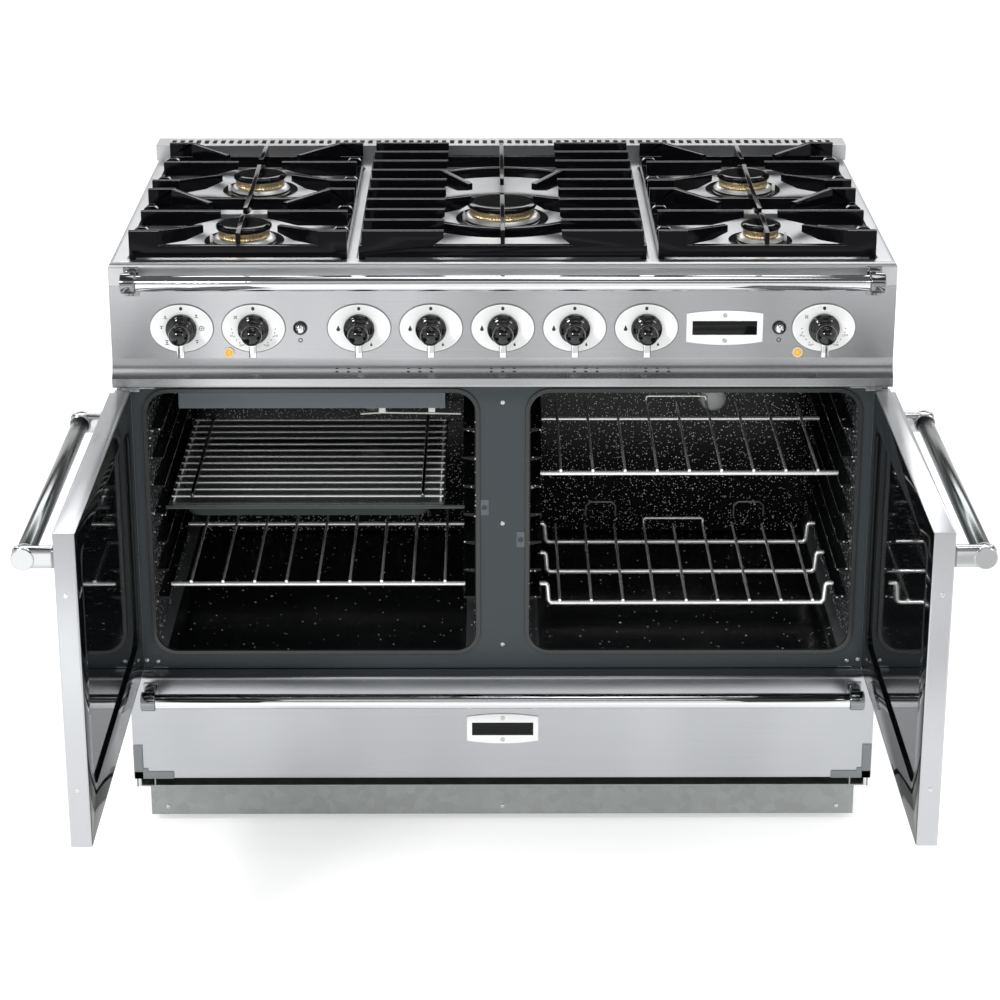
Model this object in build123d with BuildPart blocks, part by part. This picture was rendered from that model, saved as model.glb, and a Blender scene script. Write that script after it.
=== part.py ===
"""A dual fuel range cooker with two side-hung ovens, five gas burners and a storage drawer.

Millimetres, +Z up, +X to the right seen from the front, +Y to the back. The origin is on the floor,
midway between the back of the cooker and the free ends of its doors, which stand open at 90 degrees.
"""

import os

from build123d import *

os.makedirs("parts", exist_ok=True)

# Overall sizes
overall_width = 1092
overall_depth = 622
hob_height = 900
sheet = 2
running_gap = 0.3
cut_over = 5

# Doors, open at rest
door_width = 536
door_height = 432
door_thickness = 28
door_bottom = 274
door_outboard = 8
door_fascia_gap = 3
door_sheet = 1.5
door_corner_radius = 3
pin_inset = 21.5
pin_setback = 10
pin_radius = 3.5
pin_clearance = 0.05
pin_length = 10
hinge_step_length = 14
hinge_step_depth = 6
liner_sheet = 4
liner_fit = 0.2
door_window_margin_end = 44
door_window_margin_low = 58
door_window_margin_high = 42
door_window_radius = 26
door_bead_width = 5
door_bead_height = 2
door_bead_offset = 12
glass_thickness = 4
glass_overlap = 12
handle_offset = 41
handle_radius = 12
handle_drop = 41
handle_end_inset = 15
handle_collar_radius = 15
handle_collar_length = 20
handle_arm_height = 22
handle_arm_width = 14
handle_arm_round = 4

# Front: control panel, fascia and drawer
skirt_height = 33
fascia_setback = 30
fascia_sheet = 2
panel_bottom = 721
panel_curve_height = 27
panel_sweep = 12
lip_height = 14
lip_round = 4
drawer_bottom = 105
drawer_top = 271
drawer_end_gap = 1
drawer_front_depth = 28
drawer_front_round = 4
drawer_box_half_width = 490
drawer_box_low = 112
drawer_box_high = 222
drawer_box_depth = 430
runner_height = 152
runner_ledge = 18
runner_wall_inset = 26
runner_strip = 22
runner_wall_top = 262

# Ovens
opening_width = 479
opening_height = 412
opening_low = 294.5
opening_radius = 36
oven_centre = 272
seal_width = 6
seal_proud = 3.2
liner_wall = 2
liner_flange = 12
liner_depth = 500
back_panel_depth = 453
back_panel_margin_side = 21
back_panel_margin_low = 3
back_panel_margin_high = 12
back_panel_spacer = 6
intake_radius = 62
intake_slot_width = 7
intake_slots = 7

# Shelf supports and shelves
support_sheet = 1.5
support_front = 20
support_length = 400
support_low = 357
support_high = 668
runner_levels = 7
first_runner = 377
runner_pitch = 43.6
runner_reach = 18
runner_thickness = 3
shelf_front = 58
shelf_cross_bar = 292
shelf_end = 352
shelf_mid_bar = 175
shelf_half_width = 217
shelf_bar_radius = 3.5
shelf_wire_radius = 2.2
shelf_wires = 9
shelf_wire_pitch = 46.8
shelf_drop = 31
shelf_drop_inset = 13
shelf_stop_rise = 10
pan_aside = 12
pan_half_width = 190
pan_flange = 10
pan_carrier_radius = 3
pan_front = 32
pan_depth = 370
pan_height = 25
pan_taper = 14
pan_sheet = 1.5
pan_corner = 22
pan_level = 3
trivet_half_width = 198
trivet_margin = 14
trivet_wires = 13
end_share = 0.3
trivet_wire_radius = 2
trivet_grip_inset = 30
trivet_grip_radius = 4
flat_level = 4
low_level = 0

# Grill, fans and lamps
deflector_width = 380
deflector_height = 31
deflector_setback = 20
element_drop = 26
element_half_width = 165
element_front = 60
element_back = 330
element_radius = 3.5
element_runs = 4
fan_rise = 103.5
fan_radius = 75
fan_thickness = 22
fan_blades = 12
fan_blade_sheet = 1.5
fan_blade_inset = 3
fan_hub_radius = 14
fan_shaft_radius = 4
fan_gap = 8
motor_radius = 32
motor_length = 38
ring_radius = 90
ring_tube = 4
lamp_offset_x = 66
lamp_height = 532
lamp_radius = 21
lamp_proud = 9
lamp_shoulder_share = 0.86

# Catches and hinge brackets
catch_width = 12
catch_height = 24
catch_sheet = 0.8
catch_offset = 26
catch_heights = (525, 475)
bracket_width = 52
low_plate_height = 2
high_plate_height = 12
bracket_arm_width = 20
bracket_arm_sheet = 2

# Hob
edge_round = 8
well_depth = 4
well_margin = 3
well_corner = 8
support_front_inset = 20
support_depth = 510
side_support_width = 302
side_support_centre = 367
centre_support_width = 400
support_top = 40
support_bar = 9
rail_low = 6
rail_top = 19
finger_thickness = 8
slim_finger = 6
finger_tip_depth = 10
finger_foot_share = 0.62
finger_fall = 4
finger_floor = 20
finger_reach_gap = 33
small_reach_gap = 24
corner_block = 40
corner_tip_across = 54
corner_tip_along = 60
middle_bar_y = 274
middle_block_offset = 25
bump_radius = 8
bump_length = 22
bump_rise = 4
fin_rows = 10
fin_length = 118
front_finger_row = 3
rear_finger_row = 6
centre_tip_x = 47
front_tip_y = 224
rear_tip_y = 292
centre_slim_tips = (215, 305)
front_arch_middle = 78
front_arch_end = 112
rear_arch_middle = 415
rear_arch_end = 386
arch_width = 9
arch_drop = 4
arch_height = 14
burner_x = 368
front_burner_y = 127
rear_burner_y = 407
centre_burner_y = 245
small_cap_radius = 28.5
medium_cap_radius = 40
large_cap_radius = 51
cap_top = 23
cap_rim_drop = 2
ring_height = 9
ring_inset = 3
base_height = 8
base_spread = 17
base_depth = 34
jet_radius = 14
port_clearance = 1
electrode_radius = 2.5
electrode_height = 14
electrode_gap = 8
electrode_share = 0.94

# Rear vent strip
vent_depth = 48
vent_height = 24
vent_holes = 81
vent_pitch = 13
vent_hole_width = 7
vent_hole_depth = 22
vent_hole_front = 13
vent_cap_length = 20
vent_flue_depth = 22

# Towel rail and drawer rail
rail_radius = 11
rail_offset = 34
towel_rail_height = 881
drawer_rail_height = 248
rail_bracket_inset = 32
rail_bracket_width = 21
rail_bracket_height = 42
rail_bracket_round = 5
rail_collar_radius = 14

# Knobs and buttons
knob_places = (-447, -347, -200, -100, 0, 100, 200, 447)
knob_names = (
    "grill_function_knob",
    "left_oven_knob",
    "left_front_burner_knob",
    "left_rear_burner_knob",
    "centre_burner_knob",
    "right_rear_burner_knob",
    "right_front_burner_knob",
    "right_oven_knob",
)
tap_knobs = (2, 3, 4, 5, 6)
switch_knobs = (0, 1, 7)
knob_height = 806
knob_outline = (
    (0, 0),
    (21.5, 0),
    (21.5, 7),
    (16, 13),
    (12, 20),
    (14, 27),
    (14.5, 33),
    (12.5, 40),
    (7, 45),
    (0, 46.5),
)
knob_back_gap = 1
lever_length = 37
lever_width = 10
lever_thickness = 8
lever_depth = 12
shaft_radius = 4
shaft_clearance = 0.05
shaft_reach = 12
shaft_hole_radius = 7
bezel_half_width = 45
bezel_half_height = 35.5
bezel_thickness = 2.5
button_places = (-282, 385)
button_names = ("ignition_button", "oven_light_button")
button_radius = 7.5
button_travel = 3
button_proud = 7
button_stem_radius = 5
button_stem_length = 16
button_clearance = 0.1
neon_places = (-382, 412)
neon_height = 770
neon_radius = 7
neon_proud = 3
neon_body_radius = 5
neon_body_depth = 12

# Gas and electric parts inside
tap_width = 28
tap_height = 34
tap_front = 22
tap_depth = 44
switch_width = 44
switch_depth = 32
manifold_size = 18
manifold_overhang = 20
pipe_radius = 4
pipe_rise = 12
supply_x = -300
supply_radius = 10
inlet_length = 20
inlet_nut_radius = 17
inlet_nut_length = 10
terminal_x = 330
terminal_height = 620
terminal_width = 110
terminal_tall = 80
terminal_depth = 24
gland_radius = 11
gland_setback = 12.04
gland_bore = 8
gland_length = 16

# Casing, plinth and feet
casing_sheet = 1.5
rear_gap = 32
casing_low = 76
rear_slot_length = 70
rear_slot_height = 6
rear_slot_pitch_x = 90
rear_slot_pitch_z = 18
rear_slot_columns = 8
rear_slot_rows = 4
rear_slot_middle = 430
anchor_hole_radius = 3.5
anchor_hole_spacing = 200
anchor_hole_height = 850
return_flange = 14
plinth_low = 14
plinth_setback = 60
plinth_end_inset = 16
plinth_return = 24
foot_pad_radius = 20
foot_pad_height = 10
foot_stem_radius = 8
foot_side_inset = 70
foot_front_inset = 110
foot_rear_inset = 95

# Places worked out from the sizes above
half_width = overall_width / 2
rail_bracket_x = half_width - rail_bracket_inset
hinge_reach = fascia_setback - door_fascia_gap
front_y = (door_width - hinge_reach - overall_depth) / 2
rear_y = front_y + overall_depth
fascia_y = front_y + fascia_setback
fascia_back = fascia_y + fascia_sheet
casing_rear_y = rear_y - rear_gap
inner_half = half_width - casing_sheet
skirt_low = hob_height - skirt_height
door_top = door_bottom + door_height
door_face = half_width + door_outboard
door_far_y = front_y + hinge_reach
door_near_y = door_far_y - door_width
hinge_x = door_face - pin_inset
hinge_y = fascia_y - pin_setback
opening_high = opening_low + opening_height
opening_middle = (opening_low + opening_high) / 2
fan_z = opening_middle + fan_rise
cavity_width = opening_width - 2 * seal_width
cavity_height = opening_height - 2 * seal_width
cavity_low = opening_low + seal_width
cavity_high = opening_high - seal_width
cavity_half = cavity_width / 2
liner_back = fascia_back + liner_depth
back_panel_y = fascia_y + back_panel_depth
support_edge = cavity_half - support_sheet
wire_height = [first_runner + runner_pitch * k for k in range(runner_levels)]
centre_burner = (0, front_y + centre_burner_y)
well_floor = hob_height - well_depth


def block(low, high, mode=Mode.ADD):
    """Adds the box between two corners to the part being built."""
    middle = tuple((a + b) / 2 for a, b in zip(low, high))
    size = [b - a for a, b in zip(low, high)]
    with Locations(middle):
        Box(*size, mode=mode)


def bar(start, end, radius, sides=8, mode=Mode.ADD):
    """Adds one straight wire, drawn with flat sides, to the part being built."""
    run = Vector(*end) - Vector(*start)
    with BuildSketch(Plane(start, z_dir=run)) as section:
        RegularPolygon(radius, sides)
    extrude(section.sketch, amount=run.length, mode=mode)


def rod(start, end, radius, mode=Mode.ADD):
    """Adds one straight round rod to the part being built."""
    run = Vector(*end) - Vector(*start)
    with BuildSketch(Plane(start, z_dir=run)) as section:
        Circle(radius)
    extrude(section.sketch, amount=run.length, mode=mode)


def slab(outline, plane, thickness, mode=Mode.ADD):
    """Adds a flat piece with a polygon outline, drawn on a plane, to the part being built."""
    with BuildSketch(plane) as section:
        with BuildLine():
            Polyline(*outline, close=True)
        make_face()
    extrude(section.sketch, amount=thickness, mode=mode)


def save(piece, name):
    """Labels a finished piece and writes it to its own file."""
    piece.label = name
    export_step(piece, f"parts/{name}.step")


# Casing: two side sheets and a vented rear sheet
with BuildPart() as casing:
    for side in (-1, 1):
        block(
            (min(side * half_width, side * inner_half), fascia_y, casing_low),
            (max(side * half_width, side * inner_half), casing_rear_y, skirt_low),
        )
    block(
        (-half_width, casing_rear_y, casing_low),
        (half_width, casing_rear_y + casing_sheet, skirt_low),
    )
    for side in (-1, 1):
        edge = side * half_width
        lip = side * (half_width - casing_sheet)
        block(
            (min(edge, lip), casing_rear_y + casing_sheet, casing_low),
            (max(edge, lip), casing_rear_y + casing_sheet + return_flange, skirt_low),
        )
    with BuildSketch(Plane.XZ.offset(-casing_rear_y - casing_sheet - cut_over)):
        with Locations((0, rear_slot_middle)):
            with GridLocations(
                rear_slot_pitch_x, rear_slot_pitch_z, rear_slot_columns, rear_slot_rows
            ):
                Rectangle(rear_slot_length, rear_slot_height)
        with Locations((0, anchor_hole_height)):
            with GridLocations(anchor_hole_spacing, 0, 2, 1):
                Circle(anchor_hole_radius)
        with Locations((supply_x, knob_height)):
            Circle(supply_radius + port_clearance)
    extrude(amount=2 * cut_over, mode=Mode.SUBTRACT)
save(casing.part, "casing_panels")

# Base tray: one folded sheet whose side walls carry the drawer runners
tray_half = half_width - casing_sheet
wall_x = half_width - runner_wall_inset
with BuildPart() as base_tray:
    with BuildSketch(Plane.XZ.offset(-fascia_back)):
        with Locations((0, casing_low + sheet / 2)):
            Rectangle(2 * tray_half, sheet)
        for side in (-1, 1):
            with Locations((side * (wall_x - sheet / 2), (casing_low + runner_wall_top) / 2)):
                Rectangle(sheet, runner_wall_top - casing_low)
            with Locations(
                (side * (wall_x - (sheet + runner_ledge) / 2), runner_height - sheet / 2)
            ):
                Rectangle(sheet + runner_ledge, sheet)
            with Locations((side * (wall_x + (tray_half - wall_x) / 2), runner_wall_top - sheet / 2)):
                Rectangle(tray_half - wall_x, sheet)
    extrude(amount=-(casing_rear_y - fascia_back))
save(base_tray.part, "base_tray")

# Plinth: a folded galvanised sheet under the base tray
plinth_y = front_y + plinth_setback
plinth_half = half_width - plinth_end_inset
with BuildPart() as plinth:
    block(
        (-plinth_half, plinth_y, plinth_low),
        (plinth_half, plinth_y + casing_sheet, casing_low),
    )
    block(
        (-plinth_half, plinth_y, casing_low - casing_sheet),
        (plinth_half, plinth_y + plinth_return, casing_low),
    )
    for side in (-1, 1):
        block(
            (min(side * plinth_half, side * (plinth_half - casing_sheet)), plinth_y, plinth_low),
            (
                max(side * plinth_half, side * (plinth_half - casing_sheet)),
                plinth_y + plinth_return,
                casing_low,
            ),
        )
save(plinth.part, "plinth")

# Levelling feet: a threaded stem with a turned pad
with BuildPart() as feet:
    for side in (-1, 1):
        for foot_y in (front_y + foot_front_inset, rear_y - foot_rear_inset):
            foot_x = side * (half_width - foot_side_inset)
            bar((foot_x, foot_y, 0), (foot_x, foot_y, foot_pad_height), foot_pad_radius, 12)
            bar((foot_x, foot_y, foot_pad_height), (foot_x, foot_y, casing_low), foot_stem_radius)
save(feet.part, "levelling_feet")

# Hob tray: a deep-drawn top with a front skirt, three wells and five burner holes
well_centres = ((-side_support_centre, side_support_width), (0, centre_support_width),
                (side_support_centre, side_support_width))
well_middle_y = front_y + support_front_inset + support_depth / 2
burners = (
    (-burner_x, front_y + front_burner_y, medium_cap_radius),
    (-burner_x, front_y + rear_burner_y, medium_cap_radius),
    (*centre_burner, large_cap_radius),
    (burner_x, front_y + rear_burner_y, medium_cap_radius),
    (burner_x, front_y + front_burner_y, small_cap_radius),
)
vent_front = rear_y - vent_depth
with BuildPart() as hob_tray:
    block((-half_width, front_y, skirt_low), (half_width, rear_y, hob_height))
    fillet(hob_tray.edges().group_by(Axis.Z)[-1].sort_by(Axis.Y)[:-1], edge_round)
    block(
        (-half_width + sheet, front_y + sheet, skirt_low),
        (half_width - sheet, rear_y - sheet, hob_height - well_depth - sheet),
        mode=Mode.SUBTRACT,
    )
    for well_x, support_width in well_centres:
        with BuildSketch(Plane.XY.offset(well_floor)):
            with Locations((well_x, well_middle_y)):
                RectangleRounded(
                    support_width + 2 * well_margin, support_depth + 2 * well_margin, well_corner
                )
        extrude(amount=well_depth + cut_over, mode=Mode.SUBTRACT)
    with BuildSketch(Plane.XY.offset(skirt_low)):
        for x, y, _ in burners:
            with Locations((x, y)):
                Circle(jet_radius + port_clearance)
        with Locations((0, rear_y - vent_depth / 2)):
            Rectangle(2 * (half_width - vent_cap_length), vent_flue_depth)
    extrude(amount=skirt_height + cut_over, mode=Mode.SUBTRACT)
save(hob_tray.part, "hob_tray")

# Rear vent strip: a folded cover with a row of holes, and two end caps
vent_half = half_width - vent_cap_length
with BuildPart() as vent_strip:
    block(
        (-vent_half, vent_front, hob_height),
        (vent_half, rear_y, hob_height + vent_height),
    )
    block(
        (-vent_half, vent_front + sheet, hob_height),
        (vent_half, rear_y - sheet, hob_height + vent_height - sheet),
        mode=Mode.SUBTRACT,
    )
    with BuildSketch(Plane.XY.offset(hob_height + vent_height - sheet)):
        with Locations((0, vent_front + vent_hole_front + vent_hole_depth / 2)):
            with GridLocations(vent_pitch, 0, vent_holes, 1):
                Rectangle(vent_hole_width, vent_hole_depth)
    extrude(amount=sheet, mode=Mode.SUBTRACT)
    for side in (-1, 1):
        block(
            (min(side * vent_half, side * half_width), vent_front, hob_height),
            (max(side * vent_half, side * half_width), rear_y, hob_height + vent_height),
        )
save(vent_strip.part, "vent_strip")

# Control panel: flat front, a forward curve at the foot and a rounded lip
curve_top = panel_bottom + lip_height + panel_curve_height
lip_top = panel_bottom + lip_height


def panel_section(inset, mode=Mode.ADD):
    """Adds or cuts the panel's body, drawn in by a thickness on every side."""
    face = front_y + inset
    nose = front_y - panel_sweep + inset
    floor = panel_bottom + inset
    with BuildSketch(Plane.YZ.offset(-half_width + inset)) as section:
        with BuildLine():
            top = Line((fascia_y, skirt_low - inset), (face, skirt_low - inset))
            face_line = Line(top @ 1, (face, curve_top))
            hollow = TangentArc(face_line @ 1, (nose, lip_top - inset), tangent=(0, -1))
            nose_line = Line(hollow @ 1, (nose, floor))
            foot = Line(nose_line @ 1, (fascia_y, floor))
            Line(foot @ 1, top @ 0)
        make_face()
    extrude(section.sketch, amount=overall_width - 2 * inset, mode=mode)


with BuildPart() as control_panel:
    panel_section(0)
    fillet(
        control_panel.edges().filter_by(Axis.X).group_by(Axis.Y)[0].sort_by(Axis.Z)[0],
        lip_round,
    )
    panel_section(sheet, mode=Mode.SUBTRACT)
    with BuildSketch(Plane.XZ.offset(-front_y - cut_over)):
        for x in knob_places:
            with Locations((x, knob_height)):
                Circle(shaft_hole_radius)
        for x in button_places:
            with Locations((x, knob_height)):
                Circle(button_stem_radius + button_clearance)
        for x in neon_places:
            with Locations((x, neon_height)):
                Circle(neon_body_radius + button_clearance)
    extrude(amount=2 * cut_over, mode=Mode.SUBTRACT)
save(control_panel.part, "control_panel")

# Knob bezels: oval plates with a raised round seat
with BuildPart() as bezels:
    for x in knob_places:
        with BuildSketch(Plane.XZ.offset(-front_y)):
            with Locations((x, knob_height)):
                Ellipse(bezel_half_width, bezel_half_height)
                Circle(shaft_hole_radius, mode=Mode.SUBTRACT)
        extrude(amount=bezel_thickness)
save(bezels.part, "knob_bezels")


def end_bracket(x, rail_z, arm_face):
    """Adds one rail bracket: a foot plate, and a collar that holds the rail's end."""
    with BuildSketch(Plane.XZ.offset(-arm_face)) as foot_plate:
        with Locations((x, rail_z - rail_bracket_height / 2 + rail_collar_radius)):
            RectangleRounded(rail_bracket_width, rail_bracket_height, rail_bracket_round)
    extrude(foot_plate.sketch, amount=sheet)
    block(
        (x - rail_bracket_width / 2, arm_face - rail_offset, rail_z - rail_collar_radius),
        (x + rail_bracket_width / 2, arm_face - sheet, rail_z + rail_collar_radius),
    )
    rod(
        (x - rail_bracket_width / 2, arm_face - rail_offset, rail_z),
        (x + rail_bracket_width / 2, arm_face - rail_offset, rail_z),
        rail_collar_radius,
    )


def full_width_rail(rail_z):
    """Builds a rail across the front with a bracket at each end, and returns it."""
    reach = rail_bracket_x - rail_bracket_width / 2
    with BuildPart() as rail:
        rod((-reach, front_y - rail_offset, rail_z), (reach, front_y - rail_offset, rail_z), rail_radius)
    with BuildPart() as brackets:
        for side in (-1, 1):
            end_bracket(side * rail_bracket_x, rail_z, front_y)
    return Compound(children=[*rail.part.solids(), *brackets.part.solids()])


save(full_width_rail(towel_rail_height), "front_rail")
save(full_width_rail(drawer_rail_height), "drawer_handle")

# Drawer front: a folded steel pan
with BuildPart() as drawer_front:
    block(
        (-half_width + drawer_end_gap, front_y, drawer_bottom),
        (half_width - drawer_end_gap, front_y + drawer_front_depth, drawer_top),
    )
    fillet(drawer_front.edges().group_by(Axis.Y)[0].filter_by(Axis.X), drawer_front_round)
    block(
        (-half_width + drawer_end_gap + sheet, front_y + sheet, drawer_bottom + sheet),
        (half_width - drawer_end_gap - sheet, front_y + drawer_front_depth, drawer_top - sheet),
        mode=Mode.SUBTRACT,
    )
save(drawer_front.part, "drawer_front")

# Drawer box: an open steel tray with a runner strip on each side and a back plate for the front
drawer_y = front_y + drawer_front_depth
with BuildPart() as drawer_box:
    block(
        (-drawer_box_half_width, drawer_y, drawer_box_low),
        (drawer_box_half_width, drawer_y + drawer_box_depth, drawer_box_high),
    )
    block(
        (-drawer_box_half_width + sheet, drawer_y + sheet, drawer_box_low + sheet),
        (drawer_box_half_width - sheet, drawer_y + drawer_box_depth - sheet, drawer_box_high),
        mode=Mode.SUBTRACT,
    )
    for side in (-1, 1):
        strip_in = side * drawer_box_half_width
        strip_out = side * (drawer_box_half_width + runner_strip)
        block(
            (min(strip_in, strip_out), fascia_back, runner_height + running_gap),
            (
                max(strip_in, strip_out),
                drawer_y + drawer_box_depth,
                runner_height + running_gap + sheet,
            ),
        )
    block(
        (-drawer_box_half_width, front_y + sheet, drawer_box_low + drawer_front_depth),
        (drawer_box_half_width, drawer_y, drawer_box_low + drawer_front_depth + sheet),
    )
save(drawer_box.part, "drawer_box")

# Oven fascia: one enamelled frame round both openings
with BuildPart() as fascia:
    with BuildSketch(Plane.XZ.offset(-fascia_y)):
        with Locations((0, (drawer_top + skirt_low) / 2)):
            Rectangle(2 * inner_half, skirt_low - drawer_top)
        for side in (-1, 1):
            with Locations((side * oven_centre, opening_middle)):
                RectangleRounded(opening_width, opening_height, opening_radius, mode=Mode.SUBTRACT)
        for x in tap_knobs:
            with Locations((knob_places[x], knob_height)):
                Rectangle(tap_width + sheet, tap_height + sheet, mode=Mode.SUBTRACT)
        for x in switch_knobs:
            with Locations((knob_places[x], knob_height)):
                Rectangle(switch_width + sheet, switch_width + sheet, mode=Mode.SUBTRACT)
    extrude(amount=-fascia_sheet)
save(fascia.part, "oven_fascia")

# Door seals: a round-cornered ring in the mouth of each oven
with BuildPart() as seals:
    for side in (-1, 1):
        with BuildSketch(Plane.XZ.offset(-fascia_back)):
            with Locations((side * oven_centre, opening_middle)):
                RectangleRounded(opening_width, opening_height, opening_radius)
                RectangleRounded(
                    cavity_width, cavity_height, opening_radius - seal_width, mode=Mode.SUBTRACT
                )
        extrude(amount=fascia_sheet + seal_proud)
save(seals.part, "door_seals")

# Oven liners: drawn boxes with round corners and a front flange
for side, name in ((-1, "left_oven_liner"), (1, "right_oven_liner")):
    with BuildPart() as liner:
        with BuildSketch(Plane.XZ.offset(-fascia_back)):
            with Locations((side * oven_centre, opening_middle)):
                Rectangle(opening_width + 2 * liner_flange, opening_height + 2 * liner_flange)
        extrude(amount=-liner_wall)
        with BuildSketch(Plane.XZ.offset(-fascia_back)):
            with Locations((side * oven_centre, opening_middle)):
                RectangleRounded(
                    cavity_width + 2 * liner_wall,
                    cavity_height + 2 * liner_wall,
                    opening_radius - seal_width + liner_wall,
                )
        extrude(amount=-liner_depth)
        with BuildSketch(Plane.XZ.offset(-fascia_back)):
            with Locations((side * oven_centre, opening_middle)):
                RectangleRounded(cavity_width, cavity_height, opening_radius - seal_width)
        extrude(amount=-(liner_depth - liner_wall), mode=Mode.SUBTRACT)
        rod(
            (side * oven_centre, liner_back - cut_over, fan_z),
            (side * oven_centre, liner_back + cut_over, fan_z),
            fan_shaft_radius + port_clearance,
            mode=Mode.SUBTRACT,
        )
    save(liner.part, name)

# Shelf supports: side plates with pressed runners at every level
with BuildPart() as supports:
    for side in (-1, 1):
        for wall in (-1, 1):
            wall_face = side * oven_centre + wall * cavity_half
            inner_face = side * oven_centre + wall * support_edge
            tip = side * oven_centre + wall * (cavity_half - runner_reach)
            front = fascia_y + support_front
            block(
                (min(wall_face, inner_face), front, support_low),
                (max(wall_face, inner_face), front + support_length, support_high),
            )
            for level in wire_height:
                slab(
                    (
                        (inner_face, level),
                        (tip, level),
                        (tip, level - runner_thickness),
                        (inner_face, level - 2 * runner_thickness),
                    ),
                    Plane.XZ.offset(-front),
                    -support_length,
                )
save(supports.part, "shelf_supports")

# Back panels: enamelled covers in front of the fans
with BuildPart() as back_panels:
    for side in (-1, 1):
        middle = side * oven_centre
        panel_half = cavity_half - back_panel_margin_side
        block(
            (middle - panel_half, back_panel_y, cavity_low + back_panel_margin_low),
            (middle + panel_half, back_panel_y + sheet, cavity_high - back_panel_margin_high),
        )
        with BuildSketch(Plane.XZ.offset(-back_panel_y)):
            with Locations((middle, fan_z)):
                Circle(intake_radius)
                with GridLocations(0, 2 * intake_slot_width, 1, intake_slots + 1):
                    Rectangle(3 * intake_radius, intake_slot_width, mode=Mode.SUBTRACT)
        extrude(amount=-sheet, mode=Mode.SUBTRACT)
        for corner in (-1, 1):
            for post_z in (cavity_low + opening_radius, cavity_high - opening_radius):
                post_x = middle + corner * (panel_half - opening_radius)
                bar(
                    (post_x, back_panel_y + sheet, post_z),
                    (post_x, liner_back - liner_wall, post_z),
                    back_panel_spacer,
                )
save(back_panels.part, "oven_back_panels")

# Oven fans: a hub, a back disc and straight blades, with the shaft through the liner
fan_back = liner_back - liner_wall - fan_gap
fan_front = fan_back - fan_thickness
for side, name in ((-1, "left_oven_fan"), (1, "right_oven_fan")):
    middle = side * oven_centre
    with BuildPart() as fan:
        rod((middle, fan_back - sheet, fan_z), (middle, fan_back, fan_z), fan_radius)
        rod((middle, fan_front, fan_z), (middle, fan_back, fan_z), fan_hub_radius)
        with BuildSketch(Plane.XZ.offset(-fan_front)):
            with Locations((middle, fan_z)):
                with PolarLocations((fan_hub_radius + fan_radius) / 2 - fan_blade_inset, fan_blades):
                    Rectangle(fan_radius - fan_hub_radius, fan_blade_sheet)
        extrude(amount=-(fan_thickness - sheet))
        rod(
            (middle, fan_back, fan_z),
            (middle, liner_back + running_gap, fan_z),
            fan_shaft_radius,
        )
    save(fan.part, name)

# Fan motors: a round can with a mounting plate behind each liner
with BuildPart() as motors:
    for side in (-1, 1):
        middle = side * oven_centre
        start = liner_back + running_gap
        rod((middle, start, fan_z), (middle, start + motor_length, fan_z), motor_radius)
        for ear in (-1, 1):
            bar(
                (middle + ear * motor_radius, liner_back, fan_z),
                (middle + ear * motor_radius, start + motor_length / 2, fan_z),
                back_panel_spacer,
            )
save(motors.part, "fan_motors")

# Ring elements: a tube round each fan
with BuildPart() as ring_elements:
    for side in (-1, 1):
        middle = side * oven_centre
        ring_y = (fan_front + fan_back) / 2
        with BuildSketch(Plane.XY.offset(fan_z)):
            with Locations((middle + ring_radius, ring_y)):
                RegularPolygon(ring_tube, 6)
        revolve(axis=Axis((middle, ring_y, fan_z), (0, 1, 0)))
        for stay in (-1, 1):
            bar(
                (middle + stay * ring_radius, ring_y, fan_z),
                (middle + stay * ring_radius, liner_back - liner_wall, fan_z),
                ring_tube / 2,
                6,
            )
save(ring_elements.part, "fan_elements")

# Oven lamps: a glass dome on a holder behind each back panel
with BuildPart() as lamps:
    for side in (-1, 1):
        lamp_x = side * oven_centre + lamp_offset_x
        with BuildSketch(Plane.XY.offset(lamp_height)):
            with BuildLine():
                Polyline(
                    (lamp_x, back_panel_y),
                    (lamp_x + lamp_radius, back_panel_y),
                    (lamp_x + lamp_shoulder_share * lamp_radius, back_panel_y - lamp_proud / 2),
                    (lamp_x + lamp_radius / 2, back_panel_y - lamp_proud),
                    (lamp_x, back_panel_y - lamp_proud),
                    close=True,
                )
            make_face()
        revolve(axis=Axis((lamp_x, back_panel_y, lamp_height), (0, 1, 0)))
save(lamps.part, "oven_lamps")

# Grill element: a looped tube under the left oven's ceiling, on four hangers
element_z = cavity_high - element_drop
with BuildPart() as element:
    points = []
    for run in range(element_runs):
        x = -oven_centre - element_half_width + 2 * element_half_width * run / (element_runs - 1)
        ends = [fascia_y + element_front, fascia_y + element_back]
        if run % 2:
            ends.reverse()
        points += [(x, ends[1], element_z), (x, ends[0], element_z)]
    with BuildLine() as loop:
        Polyline(*points)
    with BuildSketch(Plane(loop.line @ 0, z_dir=loop.line % 0)):
        RegularPolygon(element_radius, 8)
    sweep(transition=Transition.RIGHT)
    for x in (points[0][0], points[-1][0]):
        for y in (fascia_y + 2 * element_front, fascia_y + element_back - element_front):
            bar((x, y, element_z), (x, y, cavity_high), element_radius / 2, 6)
save(element.part, "grill_element")

# Grill deflector: a folded strip across the front of the grill
deflector_y = fascia_y + deflector_setback
with BuildPart() as deflector:
    block(
        (-oven_centre - deflector_width / 2, deflector_y, cavity_high - deflector_height),
        (-oven_centre + deflector_width / 2, deflector_y + casing_sheet, cavity_high),
    )
    block(
        (-oven_centre - deflector_width / 2, deflector_y, cavity_high - casing_sheet),
        (-oven_centre + deflector_width / 2, deflector_y + return_flange, cavity_high),
    )
save(deflector.part, "grill_deflector")


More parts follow.
